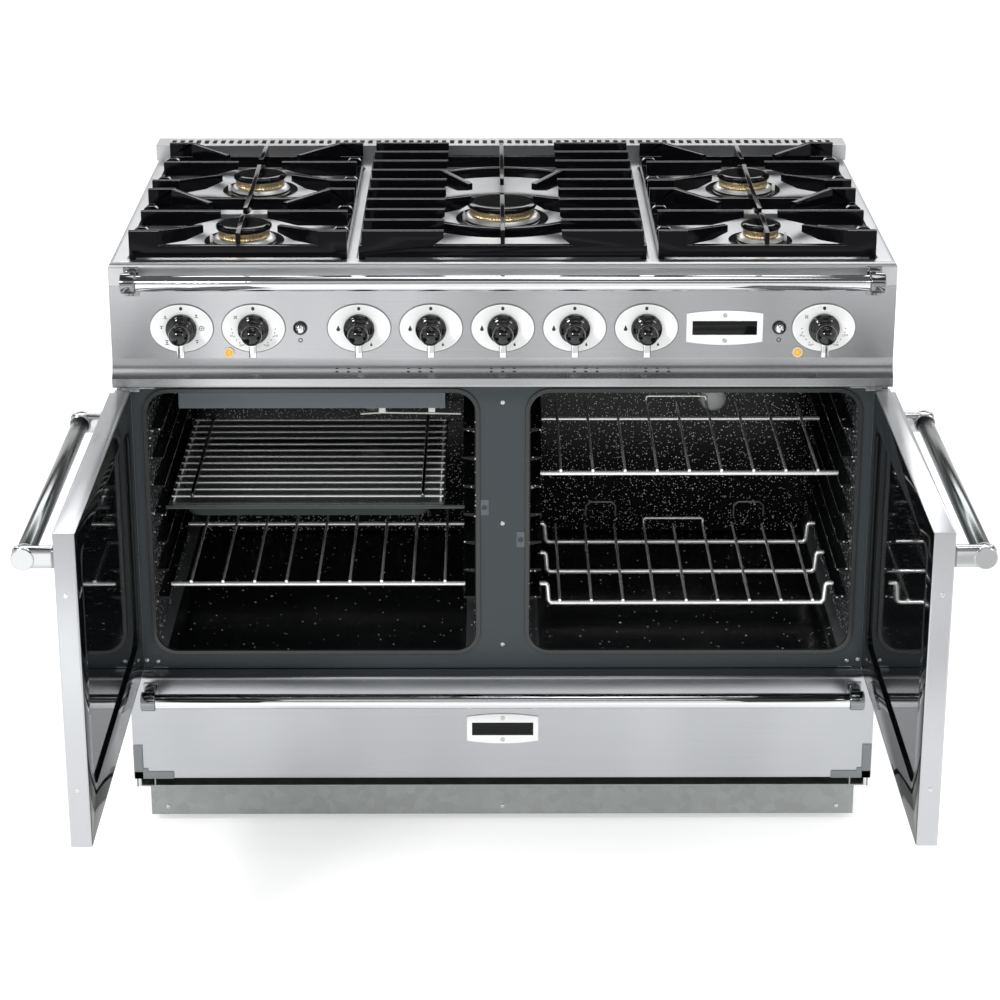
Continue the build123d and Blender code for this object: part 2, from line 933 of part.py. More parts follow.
def shelf(side, level, dropped):
    """Builds one wire shelf in an oven, flat or dropped between its end loops, and returns it."""
    middle = side * oven_centre
    rest = wire_height[level] + running_gap + shelf_bar_radius
    bar_z = rest - (shelf_drop if dropped else 0)
    wire_z = bar_z + shelf_bar_radius + shelf_wire_radius
    bars = [shelf_front, shelf_cross_bar] + ([shelf_mid_bar] if dropped else [])
    end = fascia_y + shelf_end
    reach = shelf_half_width - (shelf_drop_inset if dropped else 0)
    wires = []
    for bar_y in bars:
        y = fascia_y + bar_y
        points = [(middle - reach, y, bar_z), (middle + reach, y, bar_z)]
        if dropped:
            points.insert(0, (middle - reach, y, rest))
            points.insert(0, (middle - shelf_half_width, y, rest))
            points.append((middle + reach, y, rest))
            points.append((middle + shelf_half_width, y, rest))
        with BuildPart() as cross_bar:
            with BuildLine() as path:
                Polyline(*points)
            with BuildSketch(Plane(path.line @ 0, z_dir=path.line % 0)):
                RegularPolygon(shelf_bar_radius, 8)
            sweep(transition=Transition.RIGHT)
        wires.append(cross_bar.part)
    for k in range(shelf_wires):
        x = middle + shelf_wire_pitch * (k - (shelf_wires - 1) / 2)
        start = fascia_y + shelf_front - shelf_bar_radius
        with BuildPart() as wire:
            bar((x, start, wire_z), (x, end, wire_z), shelf_wire_radius, 6)
        wires.append(wire.part)
    with BuildPart() as stop:
        with BuildLine():
            foot = end + shelf_wire_radius
            left = middle - shelf_wire_pitch
            right = middle + shelf_wire_pitch
            Polyline(
                (left, foot, wire_z - shelf_wire_radius),
                (left, foot, wire_z + shelf_stop_rise),
                (right, foot, wire_z + shelf_stop_rise),
                (right, foot, wire_z - shelf_wire_radius),
            )
        with BuildSketch(Plane((left, foot, wire_z - shelf_wire_radius))):
            RegularPolygon(shelf_wire_radius, 6)
        sweep(transition=Transition.RIGHT)
    wires.append(stop.part)
    return Compound(children=wires)


save(shelf(-1, low_level, False), "left_oven_shelf")
save(shelf(1, flat_level, False), "right_upper_shelf")
save(shelf(1, low_level, True), "right_dropped_shelf")

# Grill pan: a tapered tray, narrower than the oven, on two carrier bars that lie on the runners
carrier_z = wire_height[pan_level] + running_gap + pan_carrier_radius
pan_rim = carrier_z + pan_carrier_radius + pan_sheet
pan_x = -oven_centre - pan_aside
pan_y = fascia_y + pan_front
pan_middle = pan_y + pan_depth / 2
with BuildPart() as pan:
    with BuildSketch(Plane.XY.offset(pan_rim)):
        with Locations((pan_x, pan_middle)):
            RectangleRounded(2 * (pan_half_width + pan_flange), pan_depth, pan_flange)
    extrude(amount=-pan_sheet)
    for inset, mode in ((0, Mode.ADD), (pan_sheet, Mode.SUBTRACT)):
        with BuildSketch(Plane.XY.offset(pan_rim)):
            with Locations((pan_x, pan_middle)):
                RectangleRounded(
                    2 * (pan_half_width - inset),
                    pan_depth - 2 * pan_flange - 2 * inset,
                    pan_corner,
                )
        with BuildSketch(Plane.XY.offset(pan_rim - pan_height + inset)):
            with Locations((pan_x, pan_middle)):
                RectangleRounded(
                    2 * (pan_half_width - pan_taper - inset),
                    pan_depth - 2 * pan_flange - 2 * pan_taper - 2 * inset,
                    pan_corner,
                )
        loft(ruled=True, mode=mode)
carrier_bars = []
for side in (-1, 1):
    y = pan_middle + side * (pan_depth / 2 - pan_flange / 2)
    with BuildPart() as carrier_bar:
        bar(
            (-oven_centre - shelf_half_width, y, carrier_z),
            (-oven_centre + shelf_half_width, y, carrier_z),
            pan_carrier_radius,
            8,
        )
    carrier_bars.append(carrier_bar.part)
save(Compound(children=[pan.part, *carrier_bars]), "grill_pan")

# Grill trivet: cross wires on two side bars that lie on the pan's flanges, and two lifting bars
trivet_z = pan_rim + trivet_wire_radius
trivet_front = pan_y + trivet_margin
trivet_back = pan_y + pan_depth - trivet_margin
trivet_pieces = []
for side in (-1, 1):
    x = pan_x + side * (trivet_half_width - 2 * trivet_wire_radius)
    grip_x = pan_x + side * (trivet_half_width - trivet_grip_inset)
    grip_z = trivet_z + 3 * trivet_wire_radius + trivet_grip_radius
    for bar_x, bar_z, radius in ((x, trivet_z, trivet_wire_radius), (grip_x, grip_z, trivet_grip_radius)):
        with BuildPart() as side_bar:
            bar((bar_x, trivet_front, bar_z), (bar_x, trivet_back, bar_z), radius, 6)
        trivet_pieces.append(side_bar.part)
for k in range(trivet_wires):
    share = (k + end_share) / (trivet_wires - 1 + 2 * end_share)
    y = trivet_front + (trivet_back - trivet_front) * share
    with BuildPart() as wire:
        bar(
            (pan_x - trivet_half_width, y, trivet_z + 2 * trivet_wire_radius),
            (pan_x + trivet_half_width, y, trivet_z + 2 * trivet_wire_radius),
            trivet_wire_radius,
            6,
        )
    trivet_pieces.append(wire.part)
save(Compound(children=trivet_pieces), "grill_trivet")

# Latch catches on the centre strip
with BuildPart() as catches:
    for side, height in zip((-1, 1), catch_heights):
        x = side * catch_offset
        block(
            (x - catch_width / 2, fascia_y - catch_sheet, height - catch_height / 2),
            (x + catch_width / 2, fascia_y, height + catch_height / 2),
        )
        rod(
            (x, fascia_y - catch_sheet - cut_over, height),
            (x, fascia_y + cut_over, height),
            catch_width / 3,
            mode=Mode.SUBTRACT,
        )
save(catches.part, "latch_catches")

# Hinge brackets: a plate on the fascia, an arm under or over the door, and its pin
low_arm_z = (drawer_top + door_bottom - bracket_arm_sheet) / 2
with BuildPart() as brackets:
    for side in (-1, 1):
        for arm_z, plate_height, pin_foot, pin_up in (
            (low_arm_z, low_plate_height, low_arm_z + bracket_arm_sheet, 1),
            (door_top + running_gap, high_plate_height, door_top + running_gap, -1),
        ):
            outer_x = side * inner_half
            inner_x = side * (inner_half - bracket_width)
            block(
                (min(outer_x, inner_x), fascia_y - catch_sheet, arm_z),
                (max(outer_x, inner_x), fascia_y, arm_z + plate_height),
            )
            arm_in = side * (hinge_x - bracket_arm_width)
            arm_out = side * (hinge_x + pin_radius)
            block(
                (min(arm_in, arm_out), hinge_y - pin_radius, arm_z),
                (max(arm_in, arm_out), fascia_y, arm_z + bracket_arm_sheet),
            )
            rod(
                (side * hinge_x, hinge_y, pin_foot),
                (side * hinge_x, hinge_y, pin_foot + pin_up * pin_length),
                pin_radius,
            )
save(brackets.part, "hinge_brackets")


def door(side):
    """Builds one open door. Returns its skin, liner, glass and handle."""

    def across(depth):
        """Gives the X of a depth measured inwards from the door's outer face."""
        return side * (door_face - depth)

    def box(depths, along, heights, mode=Mode.ADD):
        """Adds a block from depths, distances from the hinge end and heights."""
        xs = sorted(across(depth) for depth in depths)
        ys = sorted(door_far_y - length for length in along)
        block((xs[0], ys[0], heights[0]), (xs[1], ys[1], heights[1]), mode=mode)

    with BuildPart() as skin:
        box((0, door_thickness), (0, door_width), (door_bottom, door_top))
        fillet(
            skin.edges().filter_by(Axis.Z).sort_by(Axis.Y)[:2], door_corner_radius
        )
        box(
            (0, hinge_step_depth),
            (0, hinge_step_length),
            (door_bottom, door_top),
            mode=Mode.SUBTRACT,
        )
        box(
            (hinge_step_depth + door_sheet, door_thickness),
            (door_sheet, door_width - door_sheet),
            (door_bottom + door_sheet, door_top - door_sheet),
            mode=Mode.SUBTRACT,
        )
        box(
            (door_sheet, hinge_step_depth + door_sheet),
            (hinge_step_length + door_sheet, door_width - door_sheet - door_corner_radius),
            (door_bottom + door_sheet, door_top - door_sheet),
            mode=Mode.SUBTRACT,
        )
        rod(
            (side * hinge_x, hinge_y, door_bottom - cut_over),
            (side * hinge_x, hinge_y, door_top + cut_over),
            pin_radius + pin_clearance,
            mode=Mode.SUBTRACT,
        )
    edge = door_sheet + liner_fit
    window_low = door_bottom + door_window_margin_low
    window_high = door_top - door_window_margin_high
    window_length = door_width - 2 * door_window_margin_end
    window_height = window_high - window_low
    window_middle = (window_low + window_high) / 2
    inner_plane = Plane(
        (across(door_thickness), door_far_y - door_width / 2, window_middle),
        x_dir=(0, side, 0),
        z_dir=(-side, 0, 0),
    )
    with BuildPart() as liner:
        box(
            (door_thickness - liner_sheet, door_thickness),
            (edge, door_width - edge),
            (door_bottom + edge, door_top - edge),
        )
        with BuildSketch(inner_plane):
            RectangleRounded(window_length, window_height, door_window_radius)
        extrude(amount=-liner_sheet, mode=Mode.SUBTRACT)
        with BuildSketch(inner_plane.offset(-liner_sheet)):
            RectangleRounded(
                window_length + 2 * door_bead_offset,
                window_height + 2 * door_bead_offset,
                door_window_radius + door_bead_offset,
            )
            RectangleRounded(
                window_length + 2 * (door_bead_offset - door_bead_width),
                window_height + 2 * (door_bead_offset - door_bead_width),
                door_window_radius + door_bead_offset - door_bead_width,
                mode=Mode.SUBTRACT,
            )
        extrude(amount=door_bead_height, mode=Mode.SUBTRACT)
        rod(
            (side * hinge_x, hinge_y, door_bottom),
            (side * hinge_x, hinge_y, door_top),
            pin_radius + running_gap,
            mode=Mode.SUBTRACT,
        )
    with BuildPart() as glass:
        with BuildSketch(inner_plane.offset(-liner_sheet)):
            RectangleRounded(
                window_length + 2 * (glass_overlap - door_bead_width),
                window_height + 2 * (glass_overlap - door_bead_width),
                door_window_radius,
            )
        extrude(amount=-glass_thickness)
    rail_x = side * (door_face + handle_offset)
    rail_z = door_top - handle_drop
    rail_near = door_near_y + handle_end_inset
    rail_far = door_far_y - handle_end_inset
    with BuildPart() as rail:
        rod(
            (rail_x, rail_near + handle_collar_length, rail_z),
            (rail_x, rail_far - handle_collar_length, rail_z),
            handle_radius,
        )
    with BuildPart() as ends:
        for end_y, step in ((rail_near, 1), (rail_far, -1)):
            collar_y = end_y + step * handle_collar_length
            rod((rail_x, end_y, rail_z), (rail_x, collar_y, rail_z), handle_collar_radius)
            arm_middle = (end_y + collar_y) / 2
            with BuildSketch(
                Plane((side * door_face, arm_middle, rail_z), x_dir=(0, 1, 0), z_dir=(side, 0, 0))
            ):
                RectangleRounded(handle_arm_width, handle_arm_height, handle_arm_round)
            extrude(amount=handle_offset)
    handle = Compound(children=[*rail.part.solids(), *ends.part.solids()])
    return skin.part, liner.part, glass.part, handle


for side, name in ((-1, "left"), (1, "right")):
    skin_part, liner_part, glass_part, handle_part = door(side)
    save(skin_part, f"{name}_door_skin")
    save(liner_part, f"{name}_door_liner")
    save(glass_part, f"{name}_door_glass")
    save(handle_part, f"{name}_door_handle")

# Burners: base, brass ring and cap, turned about each burner's axis
ring_foot = well_floor + base_height
cap_foot = ring_foot + ring_height
cap_high = hob_height + cap_top


def turned(x, y, outline):
    """Turns an outline of radius and height pairs about a burner's axis."""
    with BuildSketch(Plane((x, y, 0), x_dir=(1, 0, 0), z_dir=(0, -1, 0))) as section:
        with BuildLine():
            Polyline(*outline, close=True)
        make_face()
    revolve(section.sketch, axis=Axis((x, y, 0), (0, 0, 1)))


with BuildPart() as bases:
    for x, y, r in burners:
        turned(
            x,
            y,
            (
                (0, well_floor),
                (r + base_spread, well_floor),
                (r - ring_inset + base_spread / 2, ring_foot),
                (0, ring_foot),
            ),
        )
        rod((x, y, hob_height - base_depth), (x, y, well_floor), jet_radius)
        inner_side = -1 if x <= 0 else 1
        tip_x = x + inner_side * (r + electrode_gap) * electrode_share
        bar(
            (tip_x, y - r / 3, well_floor),
            (tip_x, y - r / 3, well_floor + electrode_height),
            electrode_radius,
        )
save(bases.part, "burner_bases")

with BuildPart() as rings:
    for x, y, r in burners:
        turned(
            x,
            y,
            ((0, ring_foot), (r - ring_inset, ring_foot), (r - ring_inset, cap_foot), (0, cap_foot)),
        )
save(rings.part, "burner_rings")

with BuildPart() as caps:
    for x, y, r in burners:
        turned(
            x,
            y,
            (
                (0, cap_foot),
                (r, cap_foot),
                (r, cap_high - cap_rim_drop),
                (r - 2 * cap_rim_drop, cap_high),
                (0, cap_high),
            ),
        )
save(caps.part, "burner_caps")

# Pan supports: cast frames with side rails, short fins and upstanding fingers
finger_top = hob_height + support_top
frame_low = hob_height + rail_low - well_depth
frame_high = hob_height + rail_top
support_y = front_y + support_front_inset


def upstand(start, end, height_start, height_end, thickness):
    """Adds a tapered finger that stands on edge from one plan point to another."""
    run = Vector(*end) - Vector(*start)
    upright = Plane((*start, 0), x_dir=(run.X, run.Y, 0), z_dir=(run.Y, -run.X, 0))
    with BuildSketch(upright.offset(-thickness / 2)) as side_view:
        with BuildLine():
            Polyline(
                (0, frame_high),
                (0, height_start),
                (run.length, height_end),
                (run.length, height_end - finger_tip_depth),
                (run.length * finger_foot_share, frame_high),
                close=True,
            )
        make_face()
    extrude(side_view.sketch, amount=thickness)


def frame_bars(middle_x, width, cross_bars):
    """Adds the low frame of one support: side rails, cross bars and corner feet."""
    left, right = middle_x - width / 2, middle_x + width / 2
    for x in (left, right - support_bar):
        block((x, support_y, frame_low), (x + support_bar, support_y + support_depth, frame_high))
        for y in (support_y, support_y + support_depth - support_bar):
            block((x, y, well_floor), (x + support_bar, y + support_bar, frame_low))
    for y in cross_bars:
        block((left, y, frame_low), (right, y + support_bar, frame_high))


def bump(edge, inward, y):
    """Adds one short rounded fin on a side rail."""
    with BuildSketch(Plane.XZ.offset(-y - finger_thickness / 2)) as side_view:
        with Locations((edge + inward * bump_length / 2, frame_high + bump_rise)):
            SlotOverall(bump_length, 2 * bump_radius)
    extrude(side_view.sketch, amount=finger_thickness)


def corner_finger(edge, inward, corner_y, tip):
    """Adds one corner block on a side rail with the slanted finger that leaves it."""
    knee = edge + inward * corner_block
    block(
        (min(edge, knee), corner_y - finger_thickness / 2, frame_high),
        (max(edge, knee), corner_y + finger_thickness / 2, finger_top),
    )
    start = (knee - inward * finger_thickness / 2, corner_y)
    upstand(start, tip, finger_top, finger_top - finger_fall, finger_thickness)


def side_support(middle_x, small_front):
    """Builds one side support with its fingers for a front and a rear burner."""
    left = middle_x - side_support_width / 2
    right = middle_x + side_support_width / 2
    middle_y = front_y + middle_bar_y - support_bar / 2
    back_y = support_y + support_depth - support_bar
    with BuildPart() as grate:
        frame_bars(middle_x, side_support_width, (support_y, middle_y, back_y))
        for burner_y, low_y, high_y, low_bar, high_bar, gap in (
            (
                front_y + front_burner_y,
                support_y + finger_thickness / 2,
                front_y + middle_bar_y - middle_block_offset,
                support_y + support_bar / 2,
                front_y + middle_bar_y,
                small_reach_gap if small_front else finger_reach_gap,
            ),
            (
                front_y + rear_burner_y,
                front_y + middle_bar_y + middle_block_offset,
                back_y + support_bar - finger_thickness / 2,
                front_y + middle_bar_y,
                back_y + support_bar / 2,
                finger_reach_gap,
            ),
        ):
            for edge, inward in ((left, 1), (right, -1)):
                root = edge + inward * support_bar / 2
                tip_x = middle_x - inward * gap
                upstand((root, burner_y), (tip_x, burner_y), finger_top, finger_top, finger_thickness)
                for corner_y, turn in ((low_y, -1), (high_y, 1)):
                    tip = (
                        middle_x - inward * corner_tip_across,
                        burner_y + turn * corner_tip_along,
                    )
                    corner_finger(edge, inward, corner_y, tip)
                    bump(edge, inward, (burner_y + corner_y) / 2)
            for bar_y, turn in ((low_bar, -1), (high_bar, 1)):
                upstand(
                    (middle_x, bar_y),
                    (middle_x, burner_y + turn * gap / 2),
                    finger_top - finger_fall,
                    finger_top,
                    slim_finger,
                )
    return grate.part


save(side_support(-side_support_centre, False), "left_pan_support")
save(side_support(side_support_centre, True), "right_pan_support")

# Centre support: ten fins on each side, two arched bars and six fingers round the large burner
fin_gap = (support_depth - finger_thickness) / (fin_rows - 1)
fin_places = [support_y + finger_thickness / 2 + k * fin_gap for k in range(fin_rows)]
fin_inner = centre_support_width / 2 - fin_length
with BuildPart() as centre_grate:
    frame_bars(0, centre_support_width, (support_y, support_y + support_depth - support_bar))
    for inward in (1, -1):
        root = -inward * (centre_support_width / 2 - support_bar / 2)
        tip = -inward * fin_inner
        for y in fin_places:
            slab(
                (
                    (root, frame_high - support_bar / 2),
                    (root, finger_top),
                    (tip, finger_top),
                    (tip, finger_top - finger_tip_depth),
                    (tip - inward * finger_floor, frame_high - support_bar / 2),
                ),
                Plane.XZ.offset(-y - finger_thickness / 2),
                finger_thickness,
            )
        for row, tip_y in ((front_finger_row, front_tip_y), (rear_finger_row, rear_tip_y)):
            upstand(
                (tip - inward * finger_thickness, fin_places[row]),
                (-inward * centre_tip_x, front_y + tip_y),
                finger_top,
                finger_top - finger_fall,
                finger_thickness,
            )
    for middle_y, end_y in ((front_arch_middle, front_arch_end), (rear_arch_middle, rear_arch_end)):
        arch_x = fin_inner + arch_width
        with BuildSketch(Plane.XY.offset(frame_high - arch_drop)):
            with BuildLine():
                ThreePointArc(
                    (-arch_x, front_y + end_y), (0, front_y + middle_y), (arch_x, front_y + end_y)
                )
            trace(line_width=arch_width)
        extrude(amount=arch_height)
    slim_roots = (support_y + support_bar / 2, support_y + support_depth - support_bar / 2)
    for y, tip_y in zip(slim_roots, centre_slim_tips):
        upstand((0, y), (0, front_y + tip_y), finger_top, finger_top, slim_finger)
save(centre_grate.part, "centre_pan_support")

# Knobs: a stepped stem under a ball, with a long pointer lever
knob_back = front_y - bezel_thickness - knob_back_gap
for x, name in zip(knob_places, knob_names):
    with BuildPart() as knob:
        with BuildSketch(Plane.XY.offset(knob_height)):
            with BuildLine():
                Polyline(*[(x + r, knob_back - depth) for r, depth in knob_outline], close=True)
            make_face()
        revolve(axis=Axis((x, 0, knob_height), (0, 1, 0)))
        block(
            (x - lever_width / 2, knob_back - lever_depth - lever_thickness, knob_height - lever_length),
            (x + lever_width / 2, knob_back - lever_depth, knob_height),
        )
        rod(
            (x, knob_back, knob_height),
            (x, knob_back - shaft_reach, knob_height),
            shaft_radius + shaft_clearance,
            mode=Mode.SUBTRACT,
        )
    save(knob.part, name)

# Push buttons on their stems
for x, name in zip(button_places, button_names):
    with BuildPart() as button:
        rod(
            (x, front_y - button_travel - running_gap, knob_height),
            (x, front_y - button_travel - button_proud, knob_height),
            button_radius,
        )
        rod(
            (x, front_y - button_travel - running_gap, knob_height),
            (x, front_y - button_travel - running_gap + button_stem_length, knob_height),
            button_stem_radius,
        )
    save(button.part, name)

# Neon lamps in the panel
with BuildPart() as neons:
    for x in neon_places:
        rod((x, front_y, neon_height), (x, front_y - neon_proud, neon_height), neon_radius)
        rod((x, front_y, neon_height), (x, front_y + neon_body_depth, neon_height), neon_body_radius)
save(neons.part, "neon_lamps")

# Gas taps and oven switches behind the panel, with their shafts
tap_back = front_y + tap_front + tap_depth
shaft_tip = knob_back - shaft_reach + running_gap
with BuildPart() as controls:
    for k in tap_knobs:
        x = knob_places[k]
        block(
            (x - tap_width / 2, front_y + tap_front, knob_height - tap_height / 2),
            (x + tap_width / 2, tap_back, knob_height + tap_height / 2),
        )
        bar((x, front_y + tap_front, knob_height), (x, shaft_tip, knob_height), shaft_radius)
    for k in switch_knobs:
        x = knob_places[k]
        block(
            (x - switch_width / 2, front_y + sheet, knob_height - switch_width / 2),
            (x + switch_width / 2, front_y + sheet + switch_depth, knob_height + switch_width / 2),
        )
        bar((x, front_y + sheet, knob_height), (x, shaft_tip, knob_height), shaft_radius)
save(controls.part, "taps_and_switches")

# Gas supply: manifold, burner pipes and the rear inlet
pipe_z = knob_height + tap_height / 2 + pipe_rise
pipe_y = front_y + tap_front + tap_depth / 2
jet_z = hob_height - base_depth
with BuildPart() as supply:
    block(
        (supply_x - manifold_size / 2, tap_back, knob_height - manifold_size / 2),
        (
            knob_places[tap_knobs[-1]] + manifold_overhang,
            tap_back + manifold_size,
            knob_height + manifold_size / 2,
        ),
    )
    rod(
        (supply_x, tap_back + manifold_size, knob_height),
        (supply_x, casing_rear_y + inlet_length, knob_height),
        supply_radius,
    )
    rod(
        (supply_x, casing_rear_y - inlet_nut_length, knob_height),
        (supply_x, casing_rear_y, knob_height),
        inlet_nut_radius,
    )
    for k, (burner_x_k, burner_y_k, r) in zip(tap_knobs, burners):
        tap_x = knob_places[k]
        outer = r != large_cap_radius and burner_y_k < centre_burner[1]
        corner = (burner_x_k, pipe_y) if outer else (tap_x, burner_y_k)
        stops = [(tap_x, pipe_y), corner, (burner_x_k, burner_y_k)]
        route = [(tap_x, pipe_y, knob_height + tap_height / 2)]
        for stop in stops:
            if len(route) == 1 or (*stop, pipe_z) != route[-1]:
                route.append((*stop, pipe_z))
        route.append((burner_x_k, burner_y_k, jet_z))
        with BuildLine() as path:
            Polyline(*route)
        with BuildSketch(Plane(path.line @ 0, z_dir=path.line % 0)):
            RegularPolygon(pipe_radius, 8)
        sweep(transition=Transition.RIGHT)
save(supply.part, "gas_supply")

# Terminal box with its cable gland, in the recess behind the rear sheet
terminal_y = casing_rear_y + casing_sheet
with BuildPart() as terminal:
    block(
        (terminal_x - terminal_width / 2, terminal_y, terminal_height - terminal_tall / 2),
        (
            terminal_x + terminal_width / 2,
            terminal_y + terminal_depth,
            terminal_height + terminal_tall / 2,
        ),
    )
    chamfer(terminal.edges().group_by(Axis.Y)[-1], sheet)
    gland_top = terminal_height - terminal_tall / 2
    gland_y = terminal_y + gland_setback
    bar((terminal_x, gland_y, gland_top), (terminal_x, gland_y, gland_top - gland_length), gland_radius)
    rod(
        (terminal_x, gland_y, gland_top - gland_length),
        (terminal_x, gland_y, gland_top),
        gland_bore / 2,
        mode=Mode.SUBTRACT,
    )
save(terminal.part, "terminal_box")
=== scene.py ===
"""Looks of the dual fuel range cooker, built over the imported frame.

Metres, +Z up, +X to the right seen from the front, and the front faces -Y. Sizes in the classes are
millimetres, as on a maker's drawing, and mm() turns them into metres.
"""

import logging
import math
from dataclasses import dataclass
from enum import Enum
from typing import Callable, Iterable

import bmesh
import bpy
from mathutils import Matrix, Quaternion, Vector


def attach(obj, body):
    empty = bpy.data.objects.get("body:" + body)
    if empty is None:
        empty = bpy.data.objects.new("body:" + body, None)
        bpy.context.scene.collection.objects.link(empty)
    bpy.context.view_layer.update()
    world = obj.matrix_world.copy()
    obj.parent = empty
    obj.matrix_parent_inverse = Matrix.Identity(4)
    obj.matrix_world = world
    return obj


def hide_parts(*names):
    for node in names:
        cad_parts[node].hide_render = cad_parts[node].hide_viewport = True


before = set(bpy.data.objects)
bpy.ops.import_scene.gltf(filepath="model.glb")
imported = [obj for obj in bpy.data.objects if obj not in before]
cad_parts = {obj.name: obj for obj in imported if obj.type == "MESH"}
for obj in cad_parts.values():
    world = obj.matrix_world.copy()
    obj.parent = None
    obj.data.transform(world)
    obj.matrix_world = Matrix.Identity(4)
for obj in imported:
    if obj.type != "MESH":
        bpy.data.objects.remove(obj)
log = logging.getLogger("range_cooker")

Corner = tuple[float, float, float]
Outline = Iterable[tuple[float, float]]

MM = 0.001
FRONT = -56.5
HALF = 546.0
OVEN_X = 272.0
FASCIA = FRONT + 30.0
OPEN_DOOR_EDGE = -565.5
PANEL_Z = 806.0
BADGE_X = 309.0
DRAWER_BADGE_Z = 187.3
CURVE_TOP = 762.0
CURVE_RADIUS = 36.4
FORWARDS = (0, -1, 0)
UPRIGHT = (math.radians(90), 0, 0)


def mm(*values: float) -> Vector:
    """Turns millimetres into a vector of metres."""
    return Vector([value * MM for value in values])


def alone(piece: bpy.types.Object) -> None:
    """Selects one piece and nothing else.

    Args:
        piece: The piece to select.
    """
    bpy.ops.object.select_all(action="DESELECT")
    piece.select_set(True)
    bpy.context.view_layer.objects.active = piece


def named(name: str, size: Corner = (1.0, 1.0, 1.0)) -> bpy.types.Object:
    """Names the piece just added, with its place, turn and size kept in its mesh.

    Args:
        name: The piece's name.
        size: How far it is stretched along its own axes first.

    Returns:
        The piece, with nothing left on its transform.
    """
    piece = bpy.context.object
    piece.name = name
    piece.data.name = name
    piece.scale = [own * wanted for own, wanted in zip(piece.scale, size)]
    bpy.ops.object.transform_apply(location=True, rotation=True, scale=True)
    return piece


def pick(piece: bpy.types.Object, test: Callable[[Vector, Vector], bool]) -> None:
    """Selects, in edit mode, the faces that pass a test.

    Args:
        piece: The mesh being edited.
        test: Takes a face's centre and normal, and says whether the face is wanted.
    """
    bpy.ops.mesh.select_mode(type="FACE")
    bpy.ops.mesh.select_all(action="DESELECT")
    skin = bmesh.from_edit_mesh(piece.data)
    for face in skin.faces:
        if test(face.calc_center_median(), face.normal):
            face.select_set(True)
    bmesh.update_edit_mesh(piece.data)


def round_edges(piece: bpy.types.Object, width: float, steps: int = 2, angle: float = 30.0) -> None:
    """Rounds the sharp edges of a piece and shades it smooth.

    Args:
        piece: The mesh to finish.
        width: How wide the rounding is, in millimetres.
        steps: How many segments the rounding has.
        angle: Edges sharper than this many degrees are rounded.
    """
    alone(piece)
    bpy.ops.object.modifier_add(type="BEVEL")
    bevel = piece.modifiers[-1]
    bevel.width = width * MM
    bevel.segments = steps
    bevel.limit_method = "ANGLE"
    bevel.angle_limit = math.radians(angle)
    bevel.harden_normals = False
    bpy.ops.object.modifier_apply(modifier=bevel.name)
    bpy.ops.object.shade_smooth_by_angle(angle=math.radians(40))


def smooth(piece: bpy.types.Object, angle: float = 40.0) -> None:
    """Shades a piece smooth, except where faces meet at more than an angle in degrees."""
    alone(piece)
    bpy.ops.object.shade_smooth_by_angle(angle=math.radians(angle))


def slab(name: str, low: Corner, high: Corner) -> bpy.types.Object:
    """Adds a block between two corners.

    Args:
        name: The block's name.
        low: Its left, front and lower corner, in millimetres.
        high: Its right, back and upper corner.

    Returns:
        The block.
    """
    bpy.ops.object.select_all(action="DESELECT")
    start, end = mm(*low), mm(*high)
    bpy.ops.mesh.primitive_cube_add(size=1, location=(start + end) / 2, scale=end - start)
    return named(name)


def drum(name: str, start: Corner, end: Corner, radius: float, sides: int = 32) -> bpy.types.Object:
    """Adds a round bar between the middles of its two ends.

    Args:
        name: The bar's name.
        start: The middle of one end, in millimetres.
        end: The middle of the other end.
        radius: Its radius.
        sides: How many faces go round.

    Returns:
        The bar, with flat ends.
    """
    bpy.ops.object.select_all(action="DESELECT")
    run = mm(*end) - mm(*start)
    turn = run.to_track_quat("Z", "Y").to_euler()
    bpy.ops.mesh.primitive_cylinder_add(
        vertices=sides,
        radius=radius * MM,
        depth=run.length,
        location=(mm(*start) + mm(*end)) / 2,
        rotation=turn,
    )
    return named(name)


def spun(
    name: str, outline: Outline, centre: Corner, axis: Corner = (0, 0, 1), steps: int = 40
) -> bpy.types.Object:
    """Turns an outline about an axis.

    Args:
        name: The piece's name.
        outline: Pairs of radius and distance along the axis, in millimetres.
        centre: A point on the axis, from which the distances run.
        axis: The direction of the axis.
        steps: How many faces go round.

    Returns:
        The turned piece, closed at its poles, with its faces outwards.
    """
    bpy.ops.object.select_all(action="DESELECT")
    along = Vector(axis)
    across = Vector((1, 0, 0)) if abs(along.x) < 0.5 else Vector((0, 0, 1))
    points = [mm(*centre) + across * r * MM + along * h * MM for r, h in outline]
    bpy.ops.mesh.primitive_plane_add(size=MM, location=points[0])
    piece = named(name)
    bpy.ops.object.mode_set(mode="EDIT")
    bpy.ops.mesh.select_mode(type="VERT")
    bpy.ops.mesh.select_all(action="SELECT")
    bpy.ops.mesh.merge(type="CENTER")
    for before, after in zip(points, points[1:]):
        bpy.ops.mesh.extrude_region_move(TRANSFORM_OT_translate={"value": after - before})
    bpy.ops.mesh.select_all(action="SELECT")
    bpy.ops.mesh.spin(steps=steps, angle=math.tau, center=mm(*centre), axis=along)
    bpy.ops.mesh.select_all(action="SELECT")
    bpy.ops.mesh.remove_doubles(threshold=0.000005)
    bpy.ops.mesh.normals_make_consistent(inside=False)
    bpy.ops.object.mode_set(mode="OBJECT")
    smooth(piece, 32)
    return piece


